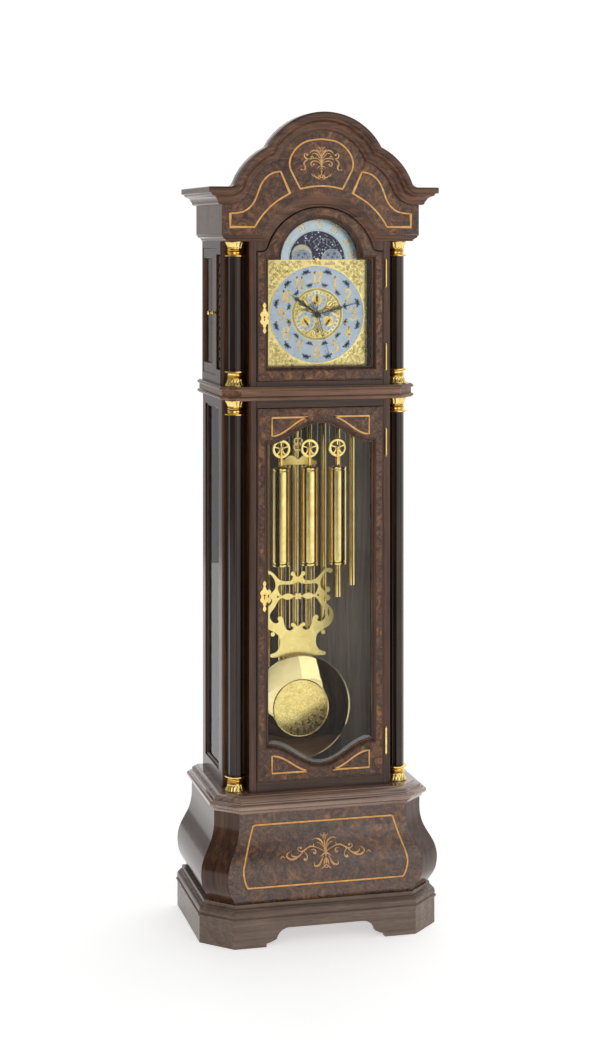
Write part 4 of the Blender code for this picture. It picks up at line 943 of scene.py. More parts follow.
def cornice():
    """Crown moulding along the pediment's outline."""
    profile = [(0.0405, 0.0), (0.0425, 0.0007), (0.0436, 0.0025), (0.0436, 0.014), (0.0425, 0.0158),
               (0.0405, 0.0165), (0.0365, 0.0168), (0.0358, 0.0176)]
    profile += smooth_line([(0.0352, 0.019), (0.0335, 0.0222), (0.029, 0.0245), (0.0235, 0.027),
                            (0.0192, 0.0305), (0.0165, 0.035), (0.0152, 0.0384)], 4)
    profile += [(0.013, 0.0388), (0.013, 0.0402)]
    profile += smooth_line([(0.0128, 0.041), (0.0124, 0.0438), (0.01, 0.0466), (0.0062, 0.048)], 4)
    profile += [(GAP, 0.0486), (GAP, 0.0)]
    lines = []
    for out, drop in profile:
        x, y, z = FRIEZE_HALF + out, FRIEZE_FRONT - out, EAR_Z - drop
        lines.append(hood_line(pediment_half(drop, x), x, y, z))
    bm = bmesh.new()
    wrapped(bm, lines)
    piece("cornice_moulded", bm, "moulding_x", stands_for=["cornice"])


cornice()


def frieze_moulding():
    """Moulding that arches over the hood door and runs back along the sides."""
    profile = [(0.0, 0.0), (0.0, 0.1), (-0.0012, 0.13), (-0.003, 0.14), (-0.0035, 0.17), (-0.0035, 0.36)]
    profile += smooth_line([(-0.0042, 0.4), (-0.0065, 0.5), (-0.01, 0.6), (-0.0118, 0.72)], 4)
    profile += [(-0.0122, 0.76), (-0.014, 0.77)]
    profile += smooth_line([(-0.0145, 0.79), (-0.0136, 0.86), (-0.0145, 0.95), (-0.016, 1.0)], 3)
    profile += [(-0.03, 1.0), (-0.03, 0.0)]
    height = FRIEZE_BOTTOM - HOOD_TOP
    lines = []
    for out, share in profile:
        z = FRIEZE_BOTTOM - height * share
        radius = ARCH_MOULD_R - (ARCH_MOULD_R - ARCH_MOULD_INNER) * share
        spring = asin((z - ARCH_Z) / radius) * 180.0 / pi
        y = FRIEZE_FRONT - out * 0.65
        x = FRIEZE_HALF + out
        lines.append(hood_line(arc(0.0, ARCH_Z, radius, 90.0, spring, 36) + [(x, z)], x, y, z))
    bm = bmesh.new()
    wrapped(bm, lines)
    piece("frieze_moulding_moulded", bm, "moulding_x", stands_for=["frieze_moulding"])


frieze_moulding()

# ---------------------------------------------------------------- doors

def ring_moulding(bm, outline_at, profile, face):
    """A closed moulding round an opening; profile points are (inset, height above the face)."""
    wrapped(bm, [[(u, face - h, v) for u, v in outline_at(inset)] for inset, h in profile], closed=True)


def hood_opening(inset):
    spring_x, shoulder, radius = 0.1125, 1.8406, 0.1125
    arch = arc(0.0, 1.838, radius - inset, 90.0, 2.0, 36)
    half = GLASS_HALF - inset
    right = arch + [(spring_x - inset, shoulder - inset), (half, shoulder - inset), (half, 1.5452 + inset)]
    return mirrored(right)


def hood_outline(inset):
    right = ogee_half(DOOR_HALF, DOOR_SHOULDER, ARCH_Z, ARCH_DOOR_R, COVE, inset)
    return mirrored(right + [(DOOR_HALF - inset, hood_door_low.z + inset)])


def trunk_opening(inset):
    half = GLASS_HALF - inset
    top_end, top_mid, low_end, low_mid = 1.34, 1.396, 0.524, 0.465
    steps = 32
    upper, lower = [], []
    for i in range(steps + 1):
        x = half * i / steps
        wave = 0.5 + 0.5 * cos(pi * x / half)
        upper.append((x, top_end + (top_mid - top_end) * wave - inset))
        lower.append((x, low_end + (low_mid - low_end) * wave + inset))
    return mirrored(upper + lower[::-1])


def trunk_outline(inset):
    return rectangle(-DOOR_HALF + inset, DOOR_HALF - inset, trunk_door_low.z + inset,
                     trunk_door_high.z - inset)


def door(body, outline_at, opening_at):
    """Burl frame with a moulded edge and a stepped, lipped moulding round the glass."""
    face = DOOR_FRONT + 0.0012
    edge_inset, lip_inset = 0.0045, -0.0095
    bm = bmesh.new()
    plate(bm, outline_at(edge_inset - 0.0005), [opening_at(lip_inset + 0.0005)], face,
          DOOR_FRONT + DOOR_THICK)
    node = f"{body}_frame"
    piece(f"{body}_veneer", bm, "burl", body, [node])
    back = -DOOR_THICK + 0.0014
    bead = [(edge_inset, 0.0), (edge_inset - 0.0004, 0.0007), (edge_inset - 0.0015, 0.0012),
            (0.0012, 0.0012),
            (0.0004, 0.0004), (0.0, -0.0012), (0.0, back), (edge_inset, back)]
    bm = bmesh.new()
    ring_moulding(bm, outline_at, bead, face)
    lip = [(lip_inset, 0.0), (lip_inset + 0.0006, 0.001), (lip_inset + 0.002, 0.0012),
           (lip_inset + 0.0032, 0.0006), (lip_inset + 0.0036, -0.001), (lip_inset + 0.0055, -0.0024),
           (-0.0022, -0.0052), (-0.001, -0.0074), (0.002, -0.0076), (0.0026, -0.0084), (0.0026, -0.0086),
           (0.0, -0.0086), (0.0, back), (lip_inset, back)]
    ring_moulding(bm, opening_at, lip, face)
    piece(f"{body}_moulding", bm, "post_wood", body)


door("hood_door", hood_outline, hood_opening)
door("trunk_door", trunk_outline, trunk_opening)


def glass_bevel():
    """Ground bevel along the wavy lower edge of the trunk door's pane."""
    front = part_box("trunk_door_glass")[0].y
    outer, inner = trunk_opening(0.0032), trunk_opening(0.0112)
    rings = []
    for (x0, z0), (x1, z1) in zip(outer, inner):
        if z0 < 0.56:
            rings.append([(x0, front - 0.0003, z0), (x1, front - 0.0011, z1), (x1, front - 0.0008, z1),
                          (x0, front, z0)])
    rings.sort(key=lambda ring: ring[0][0])
    bm = bmesh.new()
    for first, second in zip(rings, rings[1:]):
        first_verts = [bm.verts.new(co) for co in first]
        second_verts = [bm.verts.new(co) for co in second]
        for k in range(4):
            turn = (k + 1) % 4
            bm.faces.new((first_verts[k], first_verts[turn], second_verts[turn], second_verts[k]))
    bmesh.ops.remove_doubles(bm, verts=bm.verts[:], dist=0.00005)
    ends = [edge for edge in bm.edges if edge.is_boundary]
    bmesh.ops.holes_fill(bm, edges=ends, sides=4)
    bmesh.ops.recalc_face_normals(bm, faces=bm.faces[:])
    piece("trunk_door_glass_bevel", bm, "bevel_glass", "trunk_door")


glass_bevel()


def hinge(bm, low, high):
    """A hinge's brass knuckles on the door's edge, with a finial at each end."""
    x, y = joint["trunk_door_hinge"].x + 0.002, DOOR_FRONT + 0.002
    middle = 0.5 * (low + high)
    radius = 0.003
    profile = raised(low, [(0.0005, -0.004), (0.0018, -0.003), (0.0012, -0.0012), (radius, 0.0)])
    for a, b in ((low, low + 0.022), (low + 0.0226, middle + 0.0115), (middle + 0.0121, high)):
        profile += [(radius, a), (radius, b), (radius * 0.8, b + 0.0003)]
    profile += raised(high, [(radius, 0.0), (0.0012, 0.0012), (0.0018, 0.003), (0.0005, 0.004)])
    lathe(bm, profile, (x, y, 0.0), "Z", 16)


bm = bmesh.new()
for low, high in ((1.764, 1.837), (1.536, 1.6055), (1.301, 1.373), (0.483, 0.553)):
    hinge(bm, low, high)
piece("hinges", bm, "brass")


def escutcheon(name, body, x, low, high):
    """Baluster shaped key plate with its keyhole and pins."""
    half_height = 0.5 * (high - low)
    middle = 0.5 * (low + high)
    shape = [(0.0, 1.0), (0.0018, 0.93), (0.0045, 0.84), (0.004, 0.72), (0.002, 0.62), (0.0042, 0.55),
             (0.0048, 0.44), (0.01, 0.33), (0.0118, 0.18), (0.009, 0.06), (0.0096, 0.0)]
    quarter = smooth_line([(u, v * half_height) for u, v in shape], 4)
    right = quarter + [(u, -v) for u, v in reversed(quarter[:-1])]
    outline = [(x + u, middle + v) for u, v in mirrored(right)]
    hole = circle(x, middle + 0.0025, 0.0026, 12)
    slot_hole = rectangle(x - 0.0011, x + 0.0011, middle - 0.008, middle - 0.0012)
    bm = bmesh.new()
    plate(bm, outline, [hole, slot_hole], DOOR_FRONT - 0.0006, DOOR_FRONT + 0.0012)
    for v in (0.8, -0.8):
        lathe(bm, [(0.0003, -0.0016), (0.0011, -0.0011), (0.0014, 0.0)],
              (x, DOOR_FRONT - 0.0004, middle + v * half_height), "Y", 12)
    piece(f"{name}_plate", bm, "brass", body)
    # near-black patch in the keyhole: painted shade for the dark depth of the lock
    bm = bmesh.new()
    plate(bm, rectangle(x - 0.004, x + 0.004, middle - 0.01, middle + 0.007), [], DOOR_FRONT + 0.0009,
          DOOR_FRONT + 0.0011)
    piece(f"{name}_keyhole", bm, "felt", body)


escutcheon("hood_lock", "hood_door", -0.158, 1.638, 1.724)
escutcheon("trunk_lock", "trunk_door", -0.158, 0.886, 0.9715)

# ---------------------------------------------------------------- line inlay and marquetry

LINE = 0.0045
EDGE = 0.007


def stringing(bm_line, bm_edge, outline, lift):
    """A light line between two dark ones along a closed outline."""
    ribbon(bm_edge, outline, EDGE, lift, 0.00025, closed=True)
    ribbon(bm_line, outline, LINE, lift, 0.00045, closed=True)


def evened(points, gap=0.006):
    """The same outline with more points along its straight runs, so that it can follow a curved face."""
    result = []
    for (u0, v0), (u1, v1) in zip(points, points[1:] + points[:1]):
        steps = max(1, int(hypot(u1 - u0, v1 - v0) / gap))
        result += [(u0 + (u1 - u0) * k / steps, v0 + (v1 - v0) * k / steps) for k in range(steps)]
    return result


on_frieze = on_plane(FRIEZE_FRONT)
on_door = on_plane(DOOR_FRONT + 0.0012)


def door_and_case_lines():
    """Stringing on the frieze and on the trunk door."""
    fixed_line, fixed_edge, door_line, door_edge = (bmesh.new() for _ in range(4))
    bottom = arc(0.0, ARCH_Z, 0.213, 90.0, 73.8, 8)
    side = smooth_line([(0.0595, 2.031), (0.076, 2.062), (0.0868, 2.083)], 5)
    crown = smooth_line([(0.0868, 2.083), (0.0895, 2.101), (0.083, 2.123), (0.065, 2.146), (0.038, 2.161),
                         (0.0, 2.1665)], 7)
    right = bottom[:-1] + side[:-1] + crown[:-1]
    whole = right + [(0.0, 2.1665)] + [(-u, v) for u, v in reversed(right) if u > 0.0001]
    stringing(fixed_line, fixed_edge, whole, on_frieze)
    low_curve = arc(0.0, ARCH_Z, 0.212, 28.6, 57.4, 14)
    upper = smooth_line([(0.1146, 2.078), (0.135, 2.0735), (0.151, 2.064), (0.165, 2.048), (0.1745, 2.028),
                         (0.184, 2.003), (0.196, 1.984), (0.215, 1.97), (0.236, 1.965), (0.2539, 1.964)], 4)
    panel = [(0.2539, 1.9272)] + low_curve[:-1] + [(0.0885, 2.019)] + upper[:-1] + [(0.2539, 1.964)]
    stringing(fixed_line, fixed_edge, panel, on_frieze)
    stringing(fixed_line, fixed_edge, sided(-1.0, panel), on_frieze)
    for sign in (-1.0, 1.0):
        for corner_z, end_z, tip_x in ((1.4105, 1.361, 0.029), (0.448, 0.495, 0.0255)):
            wave = []
            for k in range(15):
                t = k / 16.0
                swing = 0.5 + 0.5 * cos(pi * t)
                wave.append((0.1367 + (tip_x - 0.1367) * t, corner_z + (end_z - corner_z) * swing))
            shape = [(0.1367, corner_z)] + wave + [(wave[-1][0] - 0.006, corner_z)]
            stringing(door_line, door_edge, sided(sign, shape), on_door)
    right = [(0.0, 0.3197), (0.19, 0.3197)]
    right += smooth_line([(0.1958, 0.3165), (0.2085, 0.2755), (0.224, 0.2275), (0.2285, 0.204),
                          (0.224, 0.178),
                          (0.2165, 0.1608)], 6)
    whole = evened(right + [(-u, v) for u, v in reversed(right[1:])])
    stringing(fixed_line, fixed_edge, whole, on_belly)
    piece("stringing_case", fixed_line, "inlay")
    piece("stringing_case_edges", fixed_edge, "inlay_edge")
    piece("stringing_trunk_door", door_line, "inlay", "trunk_door")
    piece("stringing_trunk_door_edges", door_edge, "inlay_edge", "trunk_door")


door_and_case_lines()

# Strokes of the marquetry, right half: (points, widest) about the motif's own centre, in units of its height.
# The line runs along the stroke; a stroke swells from its start and ends in a tip.
UPRIGHT = (
    ([(0.0, 0.04), (0.045, 0.24), (0.15, 0.4), (0.33, 0.45), (0.47, 0.37), (0.5, 0.3)], 0.075),
    ([(0.03, 0.02), (0.1, 0.18), (0.2, 0.3), (0.33, 0.33), (0.42, 0.25)], 0.045),
    ([(0.02, -0.06), (0.14, 0.1), (0.34, 0.13), (0.56, 0.09), (0.7, 0.16), (0.73, 0.27), (0.66, 0.33),
      (0.6, 0.28)], 0.062),
    ([(0.3, 0.12), (0.4, 0.22), (0.44, 0.14), (0.38, 0.1)], 0.05),
    ([(0.52, 0.1), (0.68, 0.02), (0.74, -0.1), (0.68, -0.24), (0.72, -0.34), (0.82, -0.34)], 0.075),
    ([(0.02, -0.14), (0.14, -0.02), (0.32, 0.02), (0.44, -0.06), (0.43, -0.17), (0.34, -0.18),
      (0.32, -0.1)], 0.05),
    ([(0.02, 0.46), (0.08, 0.54), (0.16, 0.6)], 0.05),
    ([(0.04, 0.38), (0.13, 0.44), (0.22, 0.52)], 0.045),
    ([(0.0, 0.3), (0.055, 0.42), (0.045, 0.52), (0.0, 0.64)], 0.04),
    ([(0.0, -0.3), (0.06, -0.36), (0.1, -0.5), (0.12, -0.62), (0.2, -0.66), (0.3, -0.58), (0.34, -0.44)],
     0.07),
    ([(0.3, -0.6), (0.37, -0.58), (0.42, -0.48)], 0.05),
    ([(0.0, -0.22), (0.08, -0.2), (0.14, -0.24), (0.17, -0.3)], 0.035),
    ([(0.02, -0.62), (0.1, -0.7), (0.17, -0.72)], 0.05),
)
SPREAD = (
    ([(0.037, -0.03), (0.067, 0.156), (0.128, 0.311), (0.25, 0.396), (0.387, 0.417), (0.509, 0.369)],
     0.078),
    ([(0.03, 0.02), (0.12, 0.16), (0.24, 0.26), (0.37, 0.28)], 0.034),
    ([(0.037, -0.069), (0.143, 0.005), (0.28, 0.071), (0.463, 0.135), (0.6, 0.15), (0.72, 0.108),
      (0.845, 0.037),
      (0.966, -0.008), (1.073, 0.021), (1.119, 0.09), (1.058, 0.153), (0.973, 0.142)], 0.062),
    ([(0.49, 0.13), (0.465, 0.18), (0.448, 0.25)], 0.04),
    ([(0.875, 0.0), (0.79, -0.106), (0.762, -0.211), (0.808, -0.304), (0.899, -0.314), (0.9, -0.25)],
     0.058),
    ([(0.9, 0.0), (0.98, -0.07), (1.073, -0.145), (1.241, -0.232), (1.393, -0.259), (1.53, -0.208),
      (1.591, -0.119),
      (1.53, -0.029), (1.393, 0.032)], 0.086),
    ([(1.104, -0.165), (1.271, -0.169), (1.378, -0.127), (1.393, -0.03)], 0.062),
    ([(1.668, -0.187), (1.759, -0.135), (1.82, -0.169), (1.88, -0.224)], 0.05),
    ([(0.57, 0.03), (0.46, 0.04), (0.395, -0.04), (0.42, -0.125), (0.49, -0.12)], 0.052),
    ([(0.0, -0.12), (0.11, -0.15), (0.22, -0.24)], 0.07),
    ([(0.1, -0.22), (0.16, -0.3), (0.19, -0.38), (0.265, -0.5), (0.372, -0.567), (0.479, -0.55),
      (0.485, -0.472),
      (0.454, -0.385)], 0.085),
    ([(0.03, 0.4), (0.09, 0.5), (0.17, 0.58)], 0.045),
    ([(0.0, 0.3), (0.055, 0.42), (0.045, 0.52), (0.0, 0.64)], 0.04),
    ([(0.05, -0.55), (0.12, -0.64), (0.2, -0.69)], 0.05),
)
BALLS = {"upright": ((0.6, 0.27, 0.04), (0.33, -0.12, 0.034), (0.85, -0.34, 0.03)),
         "spread": ((0.99, 0.12, 0.042), (0.475, -0.085, 0.04), (0.87, -0.265, 0.034))}


def marquetry(name, strokes, balls, centre_z, height, lift):
    """A mirrored arabesque of tapering strokes about a stem, with a leaf on top and a bell below."""
    bm, dark = bmesh.new(), bmesh.new()

    def placed(line, sign=1.0):
        return [(sign * u * height, centre_z + v * height) for u, v in line]

    for sign in (1.0, -1.0):
        for points, widest in strokes:
            line = placed(smooth_line(points, 6), sign)
            leaf(dark, line, 1.55 * widest * height, lift, 0.0002, 0.6)
            leaf(bm, line, 0.86 * widest * height, lift, 0.00045, 0.55)
        for u, v, radius in balls:
            patch(bm, circle(*placed([(u, v)], sign)[0], radius * height, 14), lift, -0.0006, 0.00045)
    stem = placed([(0.0, -0.24), (0.0, -0.1), (0.0, 0.1), (0.0, 0.34)])
    ribbon(bm, stem, [0.05 * height, 0.08 * height, 0.07 * height, 0.03 * height], lift, 0.0005)
    bell = smooth_line(placed([(0.0, -0.26), (0.06, -0.33), (0.1, -0.46), (0.14, -0.57), (0.1, -0.67),
                               (0.0, -0.72)]), 6)
    patch(dark, mirrored(bell), lift, -0.0006, 0.0003)
    for sign in (1.0, -1.0):
        petal = placed(smooth_line([(0.0, -0.26), (0.055, -0.34), (0.085, -0.46), (0.12, -0.6)], 6), sign)
        leaf(bm, petal, 0.05 * height, lift, 0.00045, 0.55)
    leaf(bm, placed(smooth_line([(0.0, -0.27), (0.0, -0.4), (0.0, -0.53)], 6)), 0.062 * height, lift,
         0.00045)
    ribbon(bm, circle(0.0, centre_z - 0.6 * height, 0.055 * height, 20), 0.036 * height, lift, 0.0005,
           closed=True)
    drop_ring = [(0.026 * height * cos(radians(a)), centre_z + (0.47 + 0.055 * sin(radians(a))) * height)
                 for a in range(0, 360, 20)]
    ribbon(bm, drop_ring, 0.022 * height, lift, 0.0005, closed=True)
    eye = circle(0.0, centre_z - 0.6 * height, 0.034 * height, 16)
    drop = circle(0.0, centre_z + 0.47 * height, 0.014 * height, 12)
    for outline in (eye, drop):
        patch(dark, outline, lift, -0.0006, 0.0006)
    piece(f"{name}_marquetry", bm, "marquetry")
    piece(f"{name}_marquetry_shading", dark, "marquetry_edge")


marquetry("frieze", UPRIGHT, BALLS["upright"], 2.1055, 0.0665, on_frieze)
marquetry("base", SPREAD, BALLS["spread"], 0.2462, 0.068, on_belly)

# ---------------------------------------------------------------- dial

DIGITS = {
    "0": [[(0.3, 1.0), (0.08, 0.75), (0.05, 0.45), (0.12, 0.12), (0.3, 0.0), (0.48, 0.12), (0.55, 0.45),
           (0.52, 0.75), (0.3, 1.0)]],
    "1": [[(0.12, 0.78), (0.26, 0.86), (0.36, 1.0)], [(0.34, 0.98), (0.33, 0.5), (0.34, 0.02)],
          [(0.18, 0.0), (0.34, 0.03), (0.5, 0.0)]],
    "2": [[(0.14, 0.74), (0.08, 0.86), (0.28, 1.0), (0.5, 0.9), (0.52, 0.7), (0.36, 0.44), (0.16, 0.2),
           (0.06, 0.03)], [(0.06, 0.03), (0.22, 0.09), (0.4, 0.0), (0.56, 0.1)]],
    "3": [[(0.12, 0.8), (0.12, 0.93), (0.34, 1.0), (0.49, 0.84), (0.4, 0.62), (0.22, 0.55)],
          [(0.22, 0.55), (0.46, 0.5), (0.56, 0.28), (0.42, 0.05), (0.18, 0.01), (0.08, 0.18)]],
    "4": [[(0.42, 1.0), (0.26, 0.66), (0.04, 0.3)], [(0.02, 0.31), (0.24, 0.28), (0.42, 0.34), (0.62, 0.3)],
          [(0.43, 0.98), (0.42, 0.5), (0.43, 0.0)]],
    "5": [[(0.16, 0.96), (0.34, 0.92), (0.52, 1.0)], [(0.17, 0.96), (0.14, 0.76), (0.12, 0.56)],
          [(0.12, 0.56), (0.32, 0.64), (0.52, 0.5), (0.54, 0.24), (0.36, 0.02), (0.14, 0.03),
           (0.08, 0.18)]],
    "6": [[(0.5, 0.84), (0.42, 0.99), (0.22, 0.88), (0.08, 0.6), (0.07, 0.26), (0.22, 0.02), (0.42, 0.03),
           (0.54, 0.24), (0.46, 0.47), (0.26, 0.52), (0.11, 0.36)]],
    "7": [[(0.08, 0.8), (0.08, 0.97), (0.3, 0.92), (0.56, 1.0)], [(0.56, 1.0), (0.42, 0.66), (0.3, 0.34),
                                                                    (0.28, 0.0)]],
    "8": [[(0.3, 0.55), (0.12, 0.68), (0.12, 0.9), (0.3, 1.0), (0.48, 0.9), (0.48, 0.68), (0.3, 0.55),
           (0.08, 0.36), (0.08, 0.12), (0.3, 0.0), (0.52, 0.12), (0.52, 0.36), (0.3, 0.55)]],
    "9": [[(0.1, 0.16), (0.18, 0.01), (0.38, 0.12), (0.52, 0.4), (0.53, 0.74), (0.38, 0.98), (0.18, 0.97),
           (0.06, 0.76), (0.14, 0.53), (0.34, 0.48), (0.49, 0.64)]],
    "/": [[(0.1, 0.0), (0.3, 0.5), (0.5, 1.0)]],
}
DIGIT_WIDTH = 0.6


def turned_about(points, degrees, centre, size=1.0):
    """Points (across, along) scaled and turned so that along runs at an angle clockwise from twelve."""
    turn = radians(degrees)
    cu, cv = centre
    return [(cu + (u * cos(turn) + v * sin(turn)) * size, cv + (-u * sin(turn) + v * cos(turn)) * size)
            for u, v in points]


def numeral(bm, text, centre, height, weight, lift, spin, squeeze):
    """Digits drawn as swelling strokes, centred on a point and turned clockwise by spin."""
    advance = DIGIT_WIDTH * height * squeeze * 1.06
    for k, digit in enumerate(text):
        shift = (k - 0.5 * (len(text) - 1)) * advance
        for stroke in DIGITS[digit]:
            widths = []
            points = smooth_line(stroke, 5)
            line = [(shift + (u - 0.3) * height * squeeze, (v - 0.5) * height) for u, v in points]
            for i in range(len(points)):
                t = i / (len(points) - 1)
                ahead = Vector(points[min(i + 1, len(points) - 1)]) - Vector(points[max(i - 1, 0)])
                upright = abs(ahead.y) / max(ahead.length, 1e-9)
                widths.append(weight * height * (0.4 + 0.6 * upright) * (0.75 + 0.25 * sin(pi * t)))
            ribbon(bm, turned_about(line, spin, centre), widths, lift, 0.0005)


def ring_plate(bm, cu, cv, inner, outer, low, high, segments=96):
    profile = [(inner, low), (outer, low), (outer, high), (inner, high)]
    lathe(bm, profile, (cu, 0.0, cv), "Y", segments, closed=True)


def flower(bm, centre, size, spin, lift):
    """A small painted cluster: two curled sprays, a bud and dots."""
    for sign in (-1.0, 1.0):
        for points, width in (
            ([(0.0, 0.0), (0.4, 0.2), (0.85, 0.05), (1.15, -0.25), (0.95, -0.45)], 0.42),
            ([(0.0, 0.0), (0.24, 0.42), (0.16, 0.85)], 0.46),
            ([(0.2, 0.05), (0.6, 0.5), (1.05, 0.5)], 0.36),
            ([(0.0, 0.0), (0.35, -0.15), (0.55, -0.45)], 0.3),
        ):
            line = smooth_line(sided(sign, points), 4)
            line = turned_about(line, spin, centre, size)
            leaf(bm, line, width * size, lift, 0.0003, 0.5)
    for u, v, r in ((0.0, 0.1, 0.26), (0.0, 1.02, 0.17), (0.62, 0.82, 0.15), (-0.62, 0.82, 0.15),
                    (1.32, 0.08, 0.13),
                    (-1.32, 0.08, 0.13), (0.0, -0.44, 0.15)):
        spot = turned_about([(u, v)], spin, centre, size)[0]
        patch(bm, circle(*spot, r * size, 8), lift, -0.0003, 0.0003)


HANDS_AT = {"hour": 306.0, "minute": 74.5, "seconds": 164.0}
SELECTORS_AT = {"strike": 0.0, "chime": 145.0, "tune": 215.0}
SUBDIALS = [(name, joint[f"{name}_selector"].x, joint[f"{name}_selector"].z) for name in ("strike", "chime",
                                                                                          "tune")]
WINDERS = [(joint[f"winding_drum_{name}_arbor"].x,
            joint[f"winding_drum_{name}_arbor"].z) for name in WEIGHTS]


def polar(radius, degrees, cu=0.0, cv=None):
    """A point on the dial; degrees run clockwise from twelve."""
    angle = radians(degrees)
    return cu + radius * sin(angle), (DIAL_Z if cv is None else cv) + radius * cos(angle)


def dial_ground():
    """Gilt plate with its feet and a raised edge."""
    bm = bmesh.new()
    base_z = MOON_Z + 0.001
    outline = mirrored([(0.0, base_z - 0.0012), (RING_OUTER, base_z - 0.0012), (RING_OUTER, DIAL_SHOULDER),
                        (DIAL_HALF, DIAL_SHOULDER), (DIAL_HALF, DIAL_BOTTOM)])
    holes = [circle(0.0, DIAL_Z, 0.0062, 24)] + [circle(x, z, 0.0045, 16) for x, z in WINDERS]
    holes += [circle(x, z, 0.0022, 10) for _, x, z in SUBDIALS]
    plate(bm, outline, holes, DIAL_FACE, dial_low.y + 0.0025)
    for x in (-0.1, 0.1):
        for z in (1.58, 1.78):
            lathe(bm, [(0.003, DIAL_FACE + 0.0015), (0.003, -0.0473)], (x, 0.0, z), "Y", 16)
    rim = mirrored([(DIAL_HALF - 0.0005, DIAL_SHOULDER - 0.0005),
                    (DIAL_HALF - 0.0005, DIAL_BOTTOM + 0.0005)])
    ribbon(bm, evened(rim, 0.05), 0.0016, on_plane(DIAL_FACE), 0.0008, closed=True)
    piece("dial_plate_gilt", bm, "gilt_plate", stands_for=["dial_plate"])


def spandrels():
    """Seeded curls that fill the plate's corners, each laid over a wider dark strip of painted shade."""
    scrolls, shade = bmesh.new(), bmesh.new()
    chance = random.Random(5)
    pitch, columns, rows = 0.0088, 32, 35
    for column in range(columns):
        for row in range(rows):
            cu = -DIAL_HALF + pitch * (column + 0.6) + chance.uniform(-0.0016, 0.0016)
            cv = DIAL_BOTTOM + pitch * (row + 0.6) + chance.uniform(-0.0016, 0.0016)
            spin = chance.uniform(0.0, 360.0)
            hand = chance.choice((-1.0, 1.0))
            inside = abs(cu) < DIAL_HALF - 0.0065 and DIAL_BOTTOM + 0.0065 < cv < DIAL_SHOULDER - 0.0065
            if not inside or hypot(cu, cv - DIAL_Z) < CHAPTER_R + 0.0058:
                continue
            curl = [(0.0, -1.0), (0.75, -0.7), (1.0, 0.0), (0.55, 0.62), (-0.1, 0.55), (-0.25, 0.05)]
            line = turned_about([(hand * u * 0.0042, v * 0.0042) for u, v in curl], spin, (cu, cv))
            line = smooth_line(line, 3)
            # wider dark strip under each curl: painted shade between the raised curls
            leaf(shade, line, 0.0046, on_plane(DIAL_FACE), 0.0004, 0.5)
            leaf(scrolls, line, 0.0021, on_plane(DIAL_FACE), 0.0008, 0.5)
    piece("dial_spandrels", scrolls, "gilt_plate")
    piece("dial_spandrels_ground", shade, "gilt_shade")


def dial_rings():
    """Chapter ring, and the rims of ring, winding holes and small dials."""
    bm = bmesh.new()
    ring_plate(bm, 0.0, DIAL_Z, CENTRE_R, CHAPTER_R, DIAL_FACE - 0.0012, DIAL_FACE)
    piece("chapter_ring", bm, "silvered")
    bm = bmesh.new()
    for radius, width in ((CHAPTER_R, 0.002), (CENTRE_R, 0.0016)):
        lathe(bm, raised(DIAL_FACE, [(radius - width * 0.5, -0.001), (radius - width * 0.4, -0.0018),
                                     (radius + width * 0.4, -0.0018), (radius + width * 0.5, -0.001)]),
              (0.0, 0.0, DIAL_Z), "Y", 96, closed=True)
    for x, z in WINDERS:
        lathe(bm, raised(DIAL_FACE, [(0.0045, 0.0), (0.0045, -0.0026), (0.0052, -0.003), (0.0062, -0.0026),
                                     (0.0066, 0.0)]), (x, 0.0, z), "Y", 24, closed=True)
    for _, x, z in SUBDIALS:
        lathe(bm, raised(DIAL_FACE, [(0.0262, -0.0006), (0.0264, -0.002), (0.0274, -0.002),
                                     (0.0276, -0.0006)]), (x, 0.0, z), "Y", 48, closed=True)
    piece("dial_rims", bm, "brass")


def chapter_figures():
    """Numerals, painted clusters and the minute track."""
    on_chapter = on_plane(DIAL_FACE - 0.0012)
    gold, ink = bmesh.new(), bmesh.new()
    for hour in range(1, 13):
        squeeze = 0.64 if hour > 9 else 0.95
        numeral(gold, str(hour), polar(0.101, 30.0 * hour), 0.034, 0.165, on_chapter, 0.0, squeeze)
        for radius, size in ((0.117, 0.0094), (0.0838, 0.0072)):
            spin = 30.0 * hour + 15.0
            flower(ink, polar(radius, spin), size, spin if radius > 0.1 else spin + 180.0, on_chapter)
    for minute in range(60):
        u, v = polar(0.1296, 6.0 * minute)
        size = 0.0013 if minute % 5 == 0 else 0.0007
        patch(ink, circle(u, v, size, 8), on_chapter, -0.0003, 0.0003)
    piece("chapter_numerals", gold, "gold_paint")
    piece("chapter_flowers", ink, "ink")


